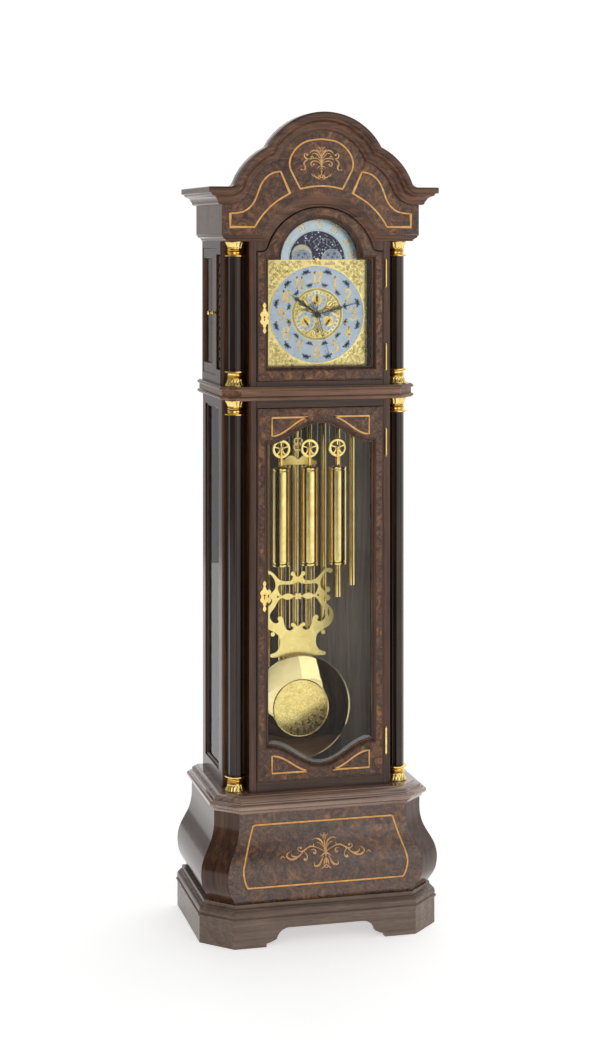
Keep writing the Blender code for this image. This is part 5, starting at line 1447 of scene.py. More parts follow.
def dial_centre():
    """Engraved centre with a filigree of curls."""
    bm = bmesh.new()
    cuts = [circle(0.0, DIAL_Z, 0.0062, 24), circle(*WINDERS[1], 0.0045, 16)]
    cuts += [circle(x, z, 0.0258, 40) for _, x, z in SUBDIALS]
    plate(bm, circle(0.0, DIAL_Z, CENTRE_R - 0.0009, 96), cuts, DIAL_FACE - 0.0008, DIAL_FACE)
    piece("dial_centre", bm, "gilt_centre")
    filigree = bmesh.new()
    on_centre = on_plane(DIAL_FACE - 0.0008)
    for k in range(36):
        spin = 10.0 * k
        u, v = polar(0.0615, spin)
        near_hole = any(hypot(u - x, v - z) < 0.0085 for x, z in WINDERS)
        if near_hole:
            continue
        for sign in (-1.0, 1.0):
            points = [(0.0, -0.9), (sign * 0.5, -0.55), (sign * 0.62, 0.1), (sign * 0.2, 0.4),
                      (sign * 0.1, 0.05)]
            line = turned_about(points, spin, (u, v), 0.0075)
            leaf(filigree, smooth_line(line, 4), 0.0022, on_centre, 0.0007, 0.6)
    for sign in (-1.0, 1.0):
        for x, z, size, spin in ((0.037, 0.026, 0.015, 50.0), (0.0, -0.014, 0.0105, 180.0),
                                 (0.013, -0.052, 0.012, 150.0),
                                 (0.05, 0.004, 0.01, 95.0), (0.022, 0.01, 0.008, 60.0)):
            for points in ([(0.0, -0.8), (0.5, -0.3), (0.55, 0.4), (0.1, 0.7), (-0.15, 0.35)],
                           [(0.0, -0.8), (-0.45, -0.2), (-0.5, 0.35), (-0.15, 0.55)],
                           [(0.0, -0.8), (0.02, 0.0), (0.0, 0.9)]):
                line = turned_about(points, spin * sign, (sign * x, DIAL_Z + z), size)
                leaf(filigree, smooth_line(line, 4), size * 0.24, on_centre, 0.0007, 0.6)
    piece("dial_filigree", filigree, "brass")


def small_dials():
    """Selector rings, each round a star of rays."""
    silver, rays, marks = bmesh.new(), bmesh.new(), bmesh.new()
    for _, x, z in SUBDIALS:
        ring_plate(silver, x, z, 0.0145, 0.0264, DIAL_FACE - 0.0014, DIAL_FACE, 64)
        star = []
        for k in range(32):
            radius = 0.0146 if k % 2 == 0 else 0.007
            star.append((x + radius * sin(pi * k / 16.0), z + radius * cos(pi * k / 16.0)))
        plate(rays, star, [circle(x, z, 0.0022, 10)], DIAL_FACE - 0.0013, DIAL_FACE)
        lathe(rays, raised(DIAL_FACE, [(0.0146, 0.0), (0.0148, -0.0017), (0.0154, -0.0017), (0.0156, 0.0)]),
              (x, 0.0, z), "Y", 48, closed=True)
        for k in range(12):
            u, v = polar(0.0205, 30.0 * k, x, z)
            du, dv = polar(0.0018 + 0.0012 * (k % 3 == 0), 30.0 * k, 0.0, 0.0)
            ribbon(marks, [(u - du, v - dv), (u, v), (u + du, v + dv)], 0.0013,
                   on_plane(DIAL_FACE - 0.0014), 0.0003)
    piece("subdial_rings", silver, "silvered")
    piece("subdial_rays", rays, "gold_paint")
    piece("subdial_marks", marks, "ink")


def moon_ring():
    """Silvered arch with the moon's age."""
    bm = bmesh.new()
    outline = arc(0.0, MOON_Z, RING_OUTER, 0.0, 180.0, 64) + arc(0.0, MOON_Z, RING_INNER, 180.0, 0.0, 64)
    loft(bm, [[(u, y, v) for u, v in outline] for y in (DIAL_FACE - 0.001, DIAL_FACE + 0.0015)])
    piece("moon_ring", bm, "silver_arch")
    gold, ink = bmesh.new(), bmesh.new()
    on_ring = on_plane(DIAL_FACE - 0.001)
    for day in (5, 10, 15, 20, 25, 29):
        text = str(day)
        spin = 5.87 * (min(day, 28.8) - 14.7)
        numeral(gold, text, polar(0.099, spin, 0.0, MOON_Z), 0.02, 0.135, on_ring, spin * 0.9, 0.92)
    for half in range(1, 60):
        spin = -90.0 + 3.0 * half
        u, v = polar(0.0818, spin, 0.0, MOON_Z)
        size = 0.0015 if half % 2 == 0 else 0.0007
        du, dv = polar(size, spin, 0.0, 0.0)
        ribbon(ink, [(u - du, v - dv), (u, v), (u + du, v + dv)], 0.0007, on_ring, 0.0003)
    piece("moon_ring_numerals", gold, "gold_paint")
    piece("moon_ring_marks", ink, "ink")


def hemispheres():
    """Two globes beside the moon's window, with their maps and rims."""
    on_ring = on_plane(DIAL_FACE - 0.001)
    bm, land = bmesh.new(), bmesh.new()
    for sign in (-1.0, 1.0):
        outline = arc(sign * HUMP_X, MOON_Z, HUMP_R, 0.0, 180.0, 32)
        loft(bm, [[(u, y, v) for u, v in outline] for y in (DIAL_FACE - 0.0008, DIAL_FACE + 0.0015)])
        on_hump = on_plane(DIAL_FACE - 0.0008)
        for k in range(1, 6):
            half = 15.0 * k
            meridian = [(sign * HUMP_X + HUMP_R * sin(radians(half - 45.0)) * cos(radians(t)) * 0.97,
                         MOON_Z + HUMP_R * sin(radians(t)) * 0.97) for t in range(2, 90, 8)]
            ribbon(land, meridian, 0.0005, on_hump, 0.0002)
        for k in (0.3, 0.6, 0.85):
            reach = HUMP_R * sqrt(1.0 - k * k) * 0.96
            line = [(sign * HUMP_X + reach * t, MOON_Z + HUMP_R * k + 0.0015 * (1 - t * t)) for t in (-1,
                                                                                                      -0.5,
                                                                                                      0,
                                                                                                      0.5,
                                                                                                      1)]
            ribbon(land, line, 0.0005, on_hump, 0.0002)
        for x, z, size in ((-0.35, 0.45, 0.3), (0.25, 0.55, 0.34), (0.05, 0.22, 0.26), (0.55, 0.2, 0.2)):
            shape = []
            for k in range(14):
                wobble = 1.0 + 0.35 * sin(k * 2.4 + 3.0 * x) + 0.18 * sin(k * 4.1 + z * 9.0)
                angle = 2.0 * pi * k / 14
                shape.append((sign * HUMP_X + HUMP_R * (x + 0.5 * size * wobble * cos(angle)),
                              MOON_Z + HUMP_R * max(z + 0.4 * size * wobble * sin(angle), 0.03)))
            patch(land, smooth_line(shape, 2, True), on_hump, -0.0003, 0.00025)
    ring_edge, pale = bmesh.new(), bmesh.new()
    for sign in (-1.0, 1.0):
        line = arc(sign * HUMP_X, MOON_Z, HUMP_R - 0.0006, 0.0, 180.0, 32)
        ribbon(pale, line, 0.0013, on_plane(DIAL_FACE - 0.0008), 0.0004)
    ribbon(pale, arc(0.0, MOON_Z, RING_INNER + 0.0006, 0.0, 180.0, 64), 0.001, on_ring, 0.0006)
    ribbon(ring_edge, arc(0.0, MOON_Z, RING_OUTER - 0.0007, 0.0, 180.0, 64), 0.0014, on_ring, 0.0006)
    piece("hemisphere_rims", pale, "silver_arch")
    lathe(ring_edge, raised(DIAL_FACE, [(0.0065, 0.0005), (0.007, -0.001), (0.006, -0.0026),
                                        (0.003, -0.0036), (0.001, -0.0038)]), (0.0, 0.0, MOON_Z - 0.0004),
                                        "Y", 32)
    piece("hemispheres", bm, "hemisphere")
    piece("hemisphere_maps", land, "hemisphere_map")
    piece("moon_ring_rims", ring_edge, "brass")


for make in (dial_ground, spandrels, dial_rings, chapter_figures, dial_centre, small_dials, moon_ring,
             hemispheres):
    make()


def moon_disc():
    """Night sky with two moons, seeded stars and a few constellations."""
    low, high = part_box("moon_disc")
    front = low.y
    radius = high.x
    bm = bmesh.new()
    lathe(bm, [(0.0025, front), (radius - 0.0004, front), (radius, front + 0.0003),
               (radius, front + 0.0012),
               (radius - 0.0004, front + 0.0015), (0.0025, front + 0.0015), (0.002, front + 0.002),
               (0.002, high.y)], (0.0, 0.0, MOON_Z), "Y", 96)
    piece("moon_sky", bm, "night", "moon_disc", ["moon_disc"])
    lift = on_plane(front)
    moons, craters, stars = bmesh.new(), bmesh.new(), bmesh.new()
    first = (-0.042, 0.013)
    for sign in (1.0, -1.0):
        cu, cv = sign * first[0], MOON_Z + sign * first[1]
        patch(moons, circle(cu, cv, 0.029, 40), lift, -0.0003, 0.0003)
        face = ([(-0.42, 0.3), (-0.25, 0.38), (-0.1, 0.3)], [(0.12, 0.3), (0.26, 0.38), (0.42, 0.3)],
                [(0.02, 0.22), (0.1, 0.0), (-0.02, -0.12)], [(-0.26, -0.34), (0.0, -0.46), (0.28, -0.32)],
                [(-0.36, 0.16), (-0.24, 0.22), (-0.12, 0.16)], [(0.14, 0.16), (0.26, 0.22), (0.38, 0.16)])
        for points in face:
            line = [(cu + sign * u * 0.029, cv + sign * v * 0.029) for u, v in smooth_line(points, 4)]
            leaf(craters, line, 0.0022, lift, 0.0005, 0.5)
        ribbon(craters, circle(cu, cv, 0.028, 40), 0.0008, lift, 0.0005, closed=True)
    chance = random.Random(11)
    placed = 0
    while placed < 130:
        r, a = radius * sqrt(chance.random()) * 0.97, chance.uniform(0.0, 2.0 * pi)
        u, v = r * cos(a), r * sin(a)
        if r < 0.009 or any(hypot(u - s * first[0], v - s * first[1]) < 0.031 for s in (1.0, -1.0)):
            continue
        size = chance.choice((0.0012, 0.0015, 0.0019, 0.003))
        points = 8 if size > 0.002 else 6
        shape = []
        for k in range(points):
            reach = size * (1.0 if k % 2 == 0 else 0.62)
            shape.append((u + reach * cos(2.0 * pi * k / points),
                          MOON_Z + v + reach * sin(2.0 * pi * k / points)))
        patch(stars, shape, lift, -0.0002, 0.0002)
        placed += 1
    piece("moons", moons, "moon_face", "moon_disc")
    piece("moon_features", craters, "moon_line", "moon_disc")
    for half in (0.0, 180.0):
        for figure in (((20.0, 0.03), (32.0, 0.04), (40.0, 0.052), (56.0, 0.05), (62.0, 0.064),
                        (76.0, 0.06)),
                       ((78.0, 0.03), (92.0, 0.038), (100.0, 0.05), (88.0, 0.058), (78.0, 0.048),
                        (84.0, 0.04)),
                       ((104.0, 0.064), (112.0, 0.056), (122.0, 0.062), (128.0, 0.05)),
                       ((36.0, 0.066), (44.0, 0.07), (50.0, 0.062))):
            marks = [(r * cos(radians(a + half)), MOON_Z + r * sin(radians(a + half))) for a, r in figure]
            ribbon(stars, marks, 0.0006, lift, 0.0002)
            for u, v in marks:
                patch(stars, circle(u, v, 0.0012, 6), lift, -0.0002, 0.0003)
    piece("stars", stars, "star", "moon_disc")


moon_disc()


def lace_hand(name, body, angle, reach, tail, bulb, low, high, pipe, pipe_end):
    """A pierced serpentine hand on its pipe."""
    centre = (0.0, DIAL_Z)
    bm = bmesh.new()
    lift = on_plane(high)
    thick = high - low

    def stroke(points, width):
        line = turned_about(smooth_line(points, 5), angle, centre)
        ribbon(bm, line, width, lift, thick, sink=0.0)

    for sign in (-1.0, 1.0):
        for begin, size in ((0.105, 1.0), (0.105 + bulb, 0.74), (0.105 + 1.75 * bulb, 0.5)):
            a, b = begin * reach / 0.92, (begin + bulb * size) * reach / 0.92
            wide = 0.08 * reach * size
            stroke([(0.0, a), (sign * wide * 0.8, a + (b - a) * 0.22), (sign * wide, a + (b - a) * 0.5),
                    (sign * wide * 0.5, a + (b - a) * 0.82), (0.0, b)], 0.0016)
            stroke([(sign * wide * 0.9, a + (b - a) * 0.45), (sign * wide * 1.45, a + (b - a) * 0.62),
                    (sign * wide * 1.2, a + (b - a) * 0.85)], 0.0012)
            stroke([(0.0, a + (b - a) * 0.15), (sign * wide * 0.45, a + (b - a) * 0.45),
                    (0.0, a + (b - a) * 0.75)],
                   0.0011)
        stroke([(0.0, 0.0), (sign * 0.0045, -tail * 0.35), (sign * 0.0028, -tail * 0.75), (0.0, -tail)],
               0.0016)
    spine = [(0.0, -tail), (0.0, 0.25 * reach), (0.0, 0.55 * reach), (0.0, 0.8 * reach), (0.0, reach)]
    ribbon(bm, turned_about(spine, angle, centre), [0.001, 0.0024, 0.0024, 0.002, 0.0006], lift, thick,
           sink=0.0)
    lathe(bm, [(pipe - 0.0012, low), (pipe + 0.0035, low), (pipe + 0.004, low + thick * 0.5),
               (pipe + 0.0035, high),
               (pipe, high), (pipe, pipe_end), (pipe - 0.0012, pipe_end)], (0.0, 0.0, DIAL_Z), "Y", 32,
               closed=True)
    piece(f"{name}_pierced", bm, "black", body, [body])


def hands():
    """Pierced hour and minute hands, the sweep seconds hand and the three selector hands."""
    rear = -0.037
    for name, reach, tail, bulb, pipe in (("hour", 0.092, 0.014, 0.3, 0.0048),
                                          ("minute", 0.118, 0.016, 0.2, 0.0031)):
        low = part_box(f"{name}_hand")[0]
        thick = 0.0012
        lace_hand(f"{name}_hand", f"{name}_hand", HANDS_AT[name], reach, tail, bulb, low.y, low.y + thick,
                  pipe, rear)
    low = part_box("seconds_hand")[0]
    bm = bmesh.new()
    back = low.y + 0.001
    lift = on_plane(back)
    centre = (0.0, DIAL_Z)
    spine = [(0.0, -0.036), (0.0, -0.01), (0.0, 0.0), (0.0, 0.06), (0.0, 0.11), (0.0, 0.128)]
    ribbon(bm, turned_about(spine, HANDS_AT["seconds"], centre),
           [0.0016, 0.0014, 0.003, 0.0012, 0.0009, 0.0004],
           lift, 0.001, sink=0.0)
    for sign in (-1.0, 1.0):
        tail = smooth_line([(0.0, -0.012), (sign * 0.0058, -0.021), (sign * 0.005, -0.029),
                            (-sign * 0.0042, -0.035)], 5)
        ribbon(bm, turned_about(tail, HANDS_AT["seconds"], centre), 0.0015, lift, 0.001, sink=0.0)
    arrow = turned_about([(-0.0026, 0.108), (0.0, 0.1125), (0.0026, 0.108), (0.0, 0.116)],
                         HANDS_AT["seconds"], centre)
    patch(bm, arrow, lift, 0.0, 0.001)
    lathe(bm, [(0.001, low.y - 0.0000), (0.0042, low.y + 0.0002), (0.0046, back), (0.0013, back),
               (0.0013, rear)],
          (0.0, 0.0, DIAL_Z), "Y", 32)
    piece("seconds_hand_pierced", bm, "black", "seconds_hand", ["seconds_hand"])
    for name, x, z in SUBDIALS:
        body = f"{name}_dial_hand"
        low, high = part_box(body)
        bm = bmesh.new()
        back = low.y + 0.0008
        lift = on_plane(back)
        for sign in (-1.0, 1.0):
            line = smooth_line([(0.0, 0.002), (sign * 0.0026, 0.0065), (sign * 0.0014, 0.0115),
                                (0.0, 0.014)], 4)
            ribbon(bm, turned_about(line, SELECTORS_AT[name], (x, z)), 0.001, lift, 0.0008, sink=0.0)
        blade = turned_about([(0.0, -0.006), (0.0, -0.003), (0.0, 0.012), (0.0, 0.019)], SELECTORS_AT[name],
                             (x, z))
        ribbon(bm, blade, [0.003, 0.0012, 0.0012, 0.0003], lift, 0.0008, sink=0.0)
        lathe(bm, [(0.0008, low.y), (0.003, low.y + 0.0001), (0.0032, back), (0.0016, back),
                   (0.0016, high.y)],
              (x, 0.0, z), "Y", 24)
        piece(f"{body}_pierced", bm, "black", body, [body])


hands()


def dial_mask():
    """Near-black sheet of painted shade between the dial's edge and the case sides, behind the hood door's
    opening.
    """
    bm = bmesh.new()
    y = DIAL_FACE + 0.003
    arch = arc(0.0, MOON_Z, RING_OUTER - 0.004, 90.0, 0.0, 24)
    hole = mirrored(arch + [(RING_OUTER - 0.004, DIAL_SHOULDER - 0.004),
                            (DIAL_HALF - 0.004, DIAL_SHOULDER - 0.004),
                            (DIAL_HALF - 0.004, DIAL_BOTTOM + 0.004)])
    top = arc(0.0, ARCH_Z, 0.15, 90.0, 30.0, 24)
    outline = mirrored(top + [(0.184, 1.89), (0.184, 1.54)])
    plate(bm, outline, [hole], y, y + 0.003)
    piece("dial_mask", bm, "felt")


dial_mask()

# ---------------------------------------------------------------- pendulum

LYRE_OUTER = (
    (0.0, 0.933), (0.005, 0.935), (0.0085, 0.94), (0.01, 0.945), (0.015, 0.9485), (0.02, 0.9465),
    (0.0215, 0.941), (0.018, 0.9365), (0.0145, 0.937), (0.0155, 0.931), (0.02, 0.9235), (0.029, 0.9215),
    (0.045, 0.9225), (0.057, 0.929), (0.07, 0.944), (0.083, 0.953), (0.095, 0.954), (0.1, 0.949),
    (0.097, 0.942), (0.09, 0.943), (0.081, 0.943), (0.073, 0.934), (0.067, 0.921), (0.066, 0.905),
    (0.072, 0.895), (0.08, 0.887), (0.08, 0.876), (0.076, 0.87), (0.077, 0.862), (0.086, 0.852),
    (0.098, 0.84), (0.1045, 0.823), (0.102, 0.805), (0.092, 0.791), (0.076, 0.782), (0.066, 0.776),
    (0.057, 0.768), (0.053, 0.756), (0.0525, 0.744), (0.056, 0.732), (0.064, 0.722), (0.076, 0.717),
    (0.0815, 0.713), (0.079, 0.708), (0.07, 0.707), (0.0, 0.707),
)
LYRE_UPPER_HOLE = (
    (0.0, 0.918), (0.01, 0.915), (0.025, 0.912), (0.045, 0.913), (0.056, 0.911), (0.059, 0.903),
    (0.056, 0.892), (0.05, 0.883), (0.044, 0.8805), (0.028, 0.88), (0.013, 0.88), (0.0, 0.88),
)
LYRE_LOWER_HOLE = (
    (0.0, 0.876), (0.013, 0.876), (0.028, 0.876), (0.044, 0.8755), (0.054, 0.871), (0.062, 0.86),
    (0.07, 0.846), (0.08, 0.834), (0.0825, 0.822), (0.077, 0.811), (0.068, 0.804), (0.059, 0.805),
    (0.0555, 0.811), (0.06, 0.815), (0.058, 0.821), (0.051, 0.8225), (0.044, 0.817), (0.041, 0.802),
    (0.034, 0.786), (0.024, 0.781), (0.015, 0.785), (0.013, 0.791), (0.0185, 0.7935), (0.0205, 0.7985),
    (0.016, 0.802), (0.009, 0.8), (0.005, 0.795), (0.0, 0.793),
)
CROSSBAR_Z = 0.878
PENDULUM_Y = joint["pendulum_pivot"].y
bob_low, bob_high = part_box("pendulum_bob")
BOB_Z = 0.5 * (bob_low.z + bob_high.z)
BOB_R = bob_high.x


def softened(points):
    """A whole mirrored outline from its right half, with its corners rounded by a curve."""
    return smooth_line(mirrored(points), 3, closed=True)


LYRE_FRONT, LYRE_REAR = PENDULUM_Y - 0.0015, PENDULUM_Y + 0.0015


def lyre():
    """Pierced plate with its crossbar, bosses and beads."""
    low, high = LYRE_FRONT, LYRE_REAR
    bm = bmesh.new()
    slits = []
    for sign in (-1.0, 1.0):
        eyelet = circle(sign * 0.059, CROSSBAR_Z + 0.0005, 0.003, 12)
        slit = smooth_line([(0.088, 0.84), (0.093, 0.83), (0.0915, 0.816), (0.088, 0.824)], 4, closed=True)
        slits += [eyelet, sided(sign, slit)]
    outline = softened(LYRE_OUTER[:-1] + ((0.03, 0.707),))
    plate(bm, outline, [softened(LYRE_UPPER_HOLE), softened(LYRE_LOWER_HOLE), *slits], low, high)
    cross = []
    for k in range(48):
        angle = 2.0 * pi * k / 48
        radius = 0.005 + 0.0062 * abs(cos(2.0 * angle)) ** 1.5
        cross.append((radius * cos(angle + 0.25 * pi), CROSSBAR_Z + radius * sin(angle + 0.25 * pi)))
    plate(bm, cross, [], low - 0.0016, low + 0.0004)
    for sign in (-1.0, 1.0):
        lens = smooth_line(raised(CROSSBAR_Z, [(0.0125, 0.0), (0.02, 0.0065), (0.03, 0.0088),
                                               (0.04, 0.0062), (0.048, 0.0), (0.04, -0.0062),
                                               (0.03, -0.0088), (0.02, -0.0065)]), 4, closed=True)
        plate(bm, sided(sign, lens), [], low - 0.0008, high - 0.0004)
        for u, v, radius in ((0.087, 0.8935, 0.0078), (0.087, 0.87, 0.0078), (0.078, 0.882, 0.007),
                             (0.074, 0.773, 0.0062), (0.016, 0.9415, 0.0056), (0.0155, 0.7975, 0.0056),
                             (0.0525, 0.816, 0.007), (0.095, 0.9475, 0.0068), (0.0765, 0.7125, 0.005)):
            plate(bm, circle(sign * u, v, radius, 24), [], low - 0.001, low + 0.0006)
    lathe(bm, [(0.0004, low - 0.003), (0.002, low - 0.0026), (0.0026, low - 0.0014)],
          (0.0, 0.0, CROSSBAR_Z),
          "Y", 20)
    piece("pendulum_lyre", bm, "brass_satin", "pendulum", ["pendulum"])


def bow():
    """Bow and scrolls over the gridiron, with the beads that hold its rods."""
    y = PENDULUM_Y
    low, high = LYRE_FRONT, LYRE_REAR
    bm = bmesh.new()
    bow_top = smooth_line([(0.0, 1.2655), (0.009, 1.2735), (0.019, 1.2785), (0.03, 1.275), (0.042, 1.265),
                           (0.055, 1.261)], 5)
    plate(bm, mirrored(bow_top + [(0.055, 1.252)]), [circle(0.0, 1.259, 0.0018, 12)], low, high)
    for sign in (-1.0, 1.0):
        for points in ([(0.0, 1.295), (0.008, 1.294), (0.0125, 1.301), (0.01, 1.309), (0.004, 1.308)],
                       [(0.0, 1.325), (0.007, 1.327), (0.0115, 1.321), (0.009, 1.313), (0.003, 1.314)]):
            line = sided(sign, smooth_line(points, 5))
            ribbon(bm, line, 0.0032, on_plane(low), high - low, sink=0.0)
    for k in range(-4, 5):
        x = 0.012 * k
        for foot, crown in ((1.244, 1.253), (0.9115, 0.9215)):
            profile = [(0.0012, foot), (0.003, foot + 0.0005), (0.0034, 0.5 * (foot + crown)),
                       (0.003, crown - 0.0005), (0.0012, crown)]
            lathe(bm, profile, (x, y + 0.0012, 0.0), "Z", 16)
    piece("pendulum_bow", bm, "brass_satin", "pendulum")


def rods():
    """Gridiron of brass and steel rods, and the suspension spring."""
    y = PENDULUM_Y
    bm, steel = bmesh.new(), bmesh.new()
    for k in (-4, -3, -2, -1, 1, 2, 3, 4):
        lathe(bm if k % 2 == 0 else steel, [(0.0019, 0.788), (0.0019, 1.25)], (0.012 * k, y + 0.0018, 0.0),
              "Z", 20)
    lathe(bm, [(0.0026, 0.72), (0.0026, 1.27), (0.0034, 1.273), (0.0034, 1.739), (0.0046, 1.74),
               (0.0046, 1.747), (0.0034, 1.748)], (0.0, y + 0.0022, 0.0), "Z", 24)
    lathe(bm, [(0.0034, 0.533), (0.0034, 0.705)], (0.0, y, 0.0), "Z", 24)
    piece("pendulum_rods_brass", bm, "brass_tube", "pendulum")
    box(steel, (-0.0048, y - 0.0004, 1.745), (0.0048, y + 0.0004, 1.785))
    box(steel, (-0.0062, y - 0.0022, 1.744), (0.0062, y + 0.0022, 1.75))
    box(steel, (-0.0062, y - 0.0022, 1.78), (0.0062, y + 0.0022, 1.7856))
    piece("pendulum_rods_steel", steel, "rod_steel", "pendulum")


def bob():
    """Lenticular bob with its mirror band and satin centre."""
    back = bob_high.y
    bm = bmesh.new()
    profile = [(0.06, back), (0.09, back - 0.003)]
    profile += smooth_line([(0.118, back - 0.0065), (0.14, back - 0.011), (BOB_R - 0.001, back - 0.015)], 5)
    profile += smooth_line(raised(back, [(BOB_R, -0.0158), (BOB_R, -0.0176), (BOB_R - 0.0008, -0.0186),
                                         (BOB_R - 0.0018, -0.019)]), 4)
    profile += [(BOB_R - 0.0024, back - 0.0186)]
    profile += smooth_line(raised(back, [(BOB_R - 0.0032, -0.019), (0.13, -0.0222), (0.115, -0.025),
                                         (0.098, -0.0274), (0.0815, -0.0288)]), 6)
    lathe(bm, profile, (0.0, 0.0, BOB_Z), "Y", 128)
    piece("pendulum_bob_disc", bm, "brass_mirror", "pendulum", ["pendulum_bob"], 50.0)
    bm = bmesh.new()
    profile = raised(back, [(0.0814, -0.0282), (0.0814, -0.0296), (0.08, -0.0304), (0.0786, -0.03)])
    profile += [(0.078, back - 0.029), (0.078, back - 0.0282)]
    lathe(bm, profile, (0.0, 0.0, BOB_Z), "Y", 96, closed=True)
    lathe(bm, raised(back, [(0.0002, -0.0298), (0.03, -0.0296), (0.078, -0.0289), (0.078, -0.0282)]),
          (0.0, 0.0, BOB_Z), "Y", 96)
    piece("pendulum_bob_centre", bm, "bob_engraved", "pendulum")


def bob_chasing():
    """Rings of chased curls on the bob's centre."""
    back, centre = bob_high.y, 0.079
    bm = bmesh.new()

    def on_bob(u, v, w):
        radius = hypot(u, v - BOB_Z)
        return (u, back - 0.0298 + 0.0009 * (radius / centre) ** 2 - w, v)

    for ring_radius, count, size, offset in ((0.064, 20, 0.01, 0.0), (0.044, 14, 0.01, 6.0),
                                             (0.024, 8, 0.0095, 0.0)):
        for k in range(count):
            spin = 360.0 * k / count + offset
            spot = polar(ring_radius, spin, 0.0, BOB_Z)
            for sign in (-1.0, 1.0):
                for points, width in (
                    ([(0.0, -1.0), (sign * 0.7, -0.7), (sign * 0.85, 0.05), (sign * 0.35, 0.45),
                      (sign * 0.12, 0.05)], 0.26),
                    ([(sign * 0.75, -0.3), (sign * 0.95, 0.55), (sign * 0.55, 0.95)], 0.22),
                ):
                    line = turned_about(points, spin, spot, size)
                    leaf(bm, smooth_line(line, 4), width * size, on_bob, 0.0008, 0.6)
            patch(bm, circle(*spot, 0.17 * size, 10), on_bob, -0.0004, 0.0009)
    for k in range(60):
        u, v = polar(0.075, 6.0 * k, 0.0, BOB_Z)
        patch(bm, circle(u, v, 0.0015, 8), on_bob, -0.0004, 0.0007)
    for k in range(8):
        petal = [polar(0.0015, 45.0 * k, 0.0, BOB_Z), polar(0.007, 45.0 * k, 0.0, BOB_Z),
                 polar(0.0135, 45.0 * k, 0.0, BOB_Z)]
        leaf(bm, smooth_line(petal, 5), 0.0046, on_bob, 0.001)
    piece("pendulum_bob_chasing", bm, "brass", "pendulum")


def rating_nut():
    """Nut and thread under the bob."""
    y = PENDULUM_Y
    bm = bmesh.new()
    lathe(bm, [(0.0034, 0.505), (0.0048, 0.506), (0.0048, 0.512), (0.0034, 0.513)], (0.0, y, 0.0), "Z", 24)
    lathe(bm, [(0.002, 0.49), (0.002, 0.534)], (0.0, y, 0.0), "Z", 16)
    piece("pendulum_rating_nut", bm, "brass", "pendulum")


for make in (lyre, bow, rods, bob, bob_chasing, rating_nut):
    make()

# ---------------------------------------------------------------- weights, pulleys, cables and drums

CABLE_R = 0.0012
CABLE_ARM = 0.0232
SEAT_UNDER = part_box("seat_board")[0].z


def rope(bm, path):
    """Stranded cable along a path: six lobes that twist round it."""
    points = [Vector(p) for p in path]
    side = None
    rings = []
    run = 0.0
    for i, point in enumerate(points):
        if i:
            run += (point - points[i - 1]).length
        ahead = (points[min(i + 1, len(points) - 1)] - points[max(i - 1, 0)]).normalized()
        if side is None:
            side = Vector((0.0, 1.0, 0.0)) if abs(ahead.y) < 0.9 else Vector((1.0, 0.0, 0.0))
        side = (side - ahead * side.dot(ahead)).normalized()
        up = ahead.cross(side)
        twist = run / 0.012 * 2.0 * pi / 6.0
        ring = []
        for k in range(12):
            angle = 2.0 * pi * k / 12
            radius = CABLE_R * (0.86 + 0.14 * cos(6.0 * angle))
            ring.append(point + (side * cos(angle + twist) + up * sin(angle + twist)) * radius)
        rings.append(ring)
    loft(bm, rings)


def weight(name):
    """Brass shell with turned caps, and the stirrup that holds its pulley."""
    body = f"weight_{name}"
    x, y, pulley_z = joint[f"pulley_{name}_pin"]
    radius = 0.025
    foot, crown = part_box(body)[0].z, 1.26
    bm = bmesh.new()
    lathe(bm, [(radius - 0.0012, foot + 0.012), (radius - 0.0004, foot + 0.0125),
               (radius - 0.0004, crown - 0.0105),
               (radius - 0.0012, crown - 0.01)], (x, y, 0.0), "Z", 64)
    piece(f"{body}_shell", bm, "brass_tube", body, [body])
    bm = bmesh.new()
    end = raised(foot, [(0.015, 0.0012), (0.016, 0.0), (radius - 0.003, 0.0), (radius - 0.0008, 0.0008),
                        (radius, 0.0026), (radius, 0.006), (radius - 0.0008, 0.0075),
                        (radius - 0.0016, 0.0085), (radius - 0.0008, 0.01), (radius - 0.0008, 0.0122),
                        (radius - 0.002, 0.0125)])
    lathe(bm, [(0.0005, foot + 0.0016)] + end, (x, y, 0.0), "Z", 64)
    lid = [(r, foot + crown - h) for r, h in reversed(end)]
    top = raised(crown, [(0.011, -0.0002), (0.01, 0.001), (0.006, 0.0018), (0.0046, 0.004),
                         (0.0042, 0.009)])
    lathe(bm, lid + top, (x, y, 0.0), "Z", 64)
    nut = raised(crown, [(0.0042, 0.0018), (0.0075, 0.002), (0.008, 0.003), (0.0075, 0.004),
                         (0.0042, 0.0044)])
    lathe(bm, nut, (x, y, 0.0), "Z", 24)
    piece(f"{body}_caps", bm, "brass", body)
    outer, inner = 0.0063, 0.0047
    strap_top = pulley_z + 0.0078
    bm = bmesh.new()
    fork = [(inner, 1.2845), (inner - 0.0012, 1.283), (-inner + 0.0012, 1.283), (-inner, 1.2845)]
    shape = [(-outer, crown + 0.0062), (outer, crown + 0.0062), (outer, strap_top - 0.001),
             (outer - 0.0005, strap_top),
             (inner, strap_top)] + fork + [(-inner, strap_top), (-outer + 0.0005, strap_top),
                                                   (-outer, strap_top - 0.001)]
    plate(bm, [(y + v, z) for v, z in shape], [], x - 0.0026, x + 0.0026, SIDE)
    for side in (-1.0, 1.0):
        lathe(bm, [(0.0004, 0.0016), (0.003, 0.0013), (0.0038, 0.0)] if side > 0 else
              [(0.0038, 0.0), (0.003, -0.0013), (0.0004, -0.0016)], (x, y + side * outer, pulley_z), "Y",
              20)
    lathe(bm, [(0.0022, y - inner - 0.0002), (0.0022, y + inner + 0.0002)], (x, 0.0, pulley_z), "Y", 16)
    piece(f"{body}_stirrup", bm, "orange_brass", body)


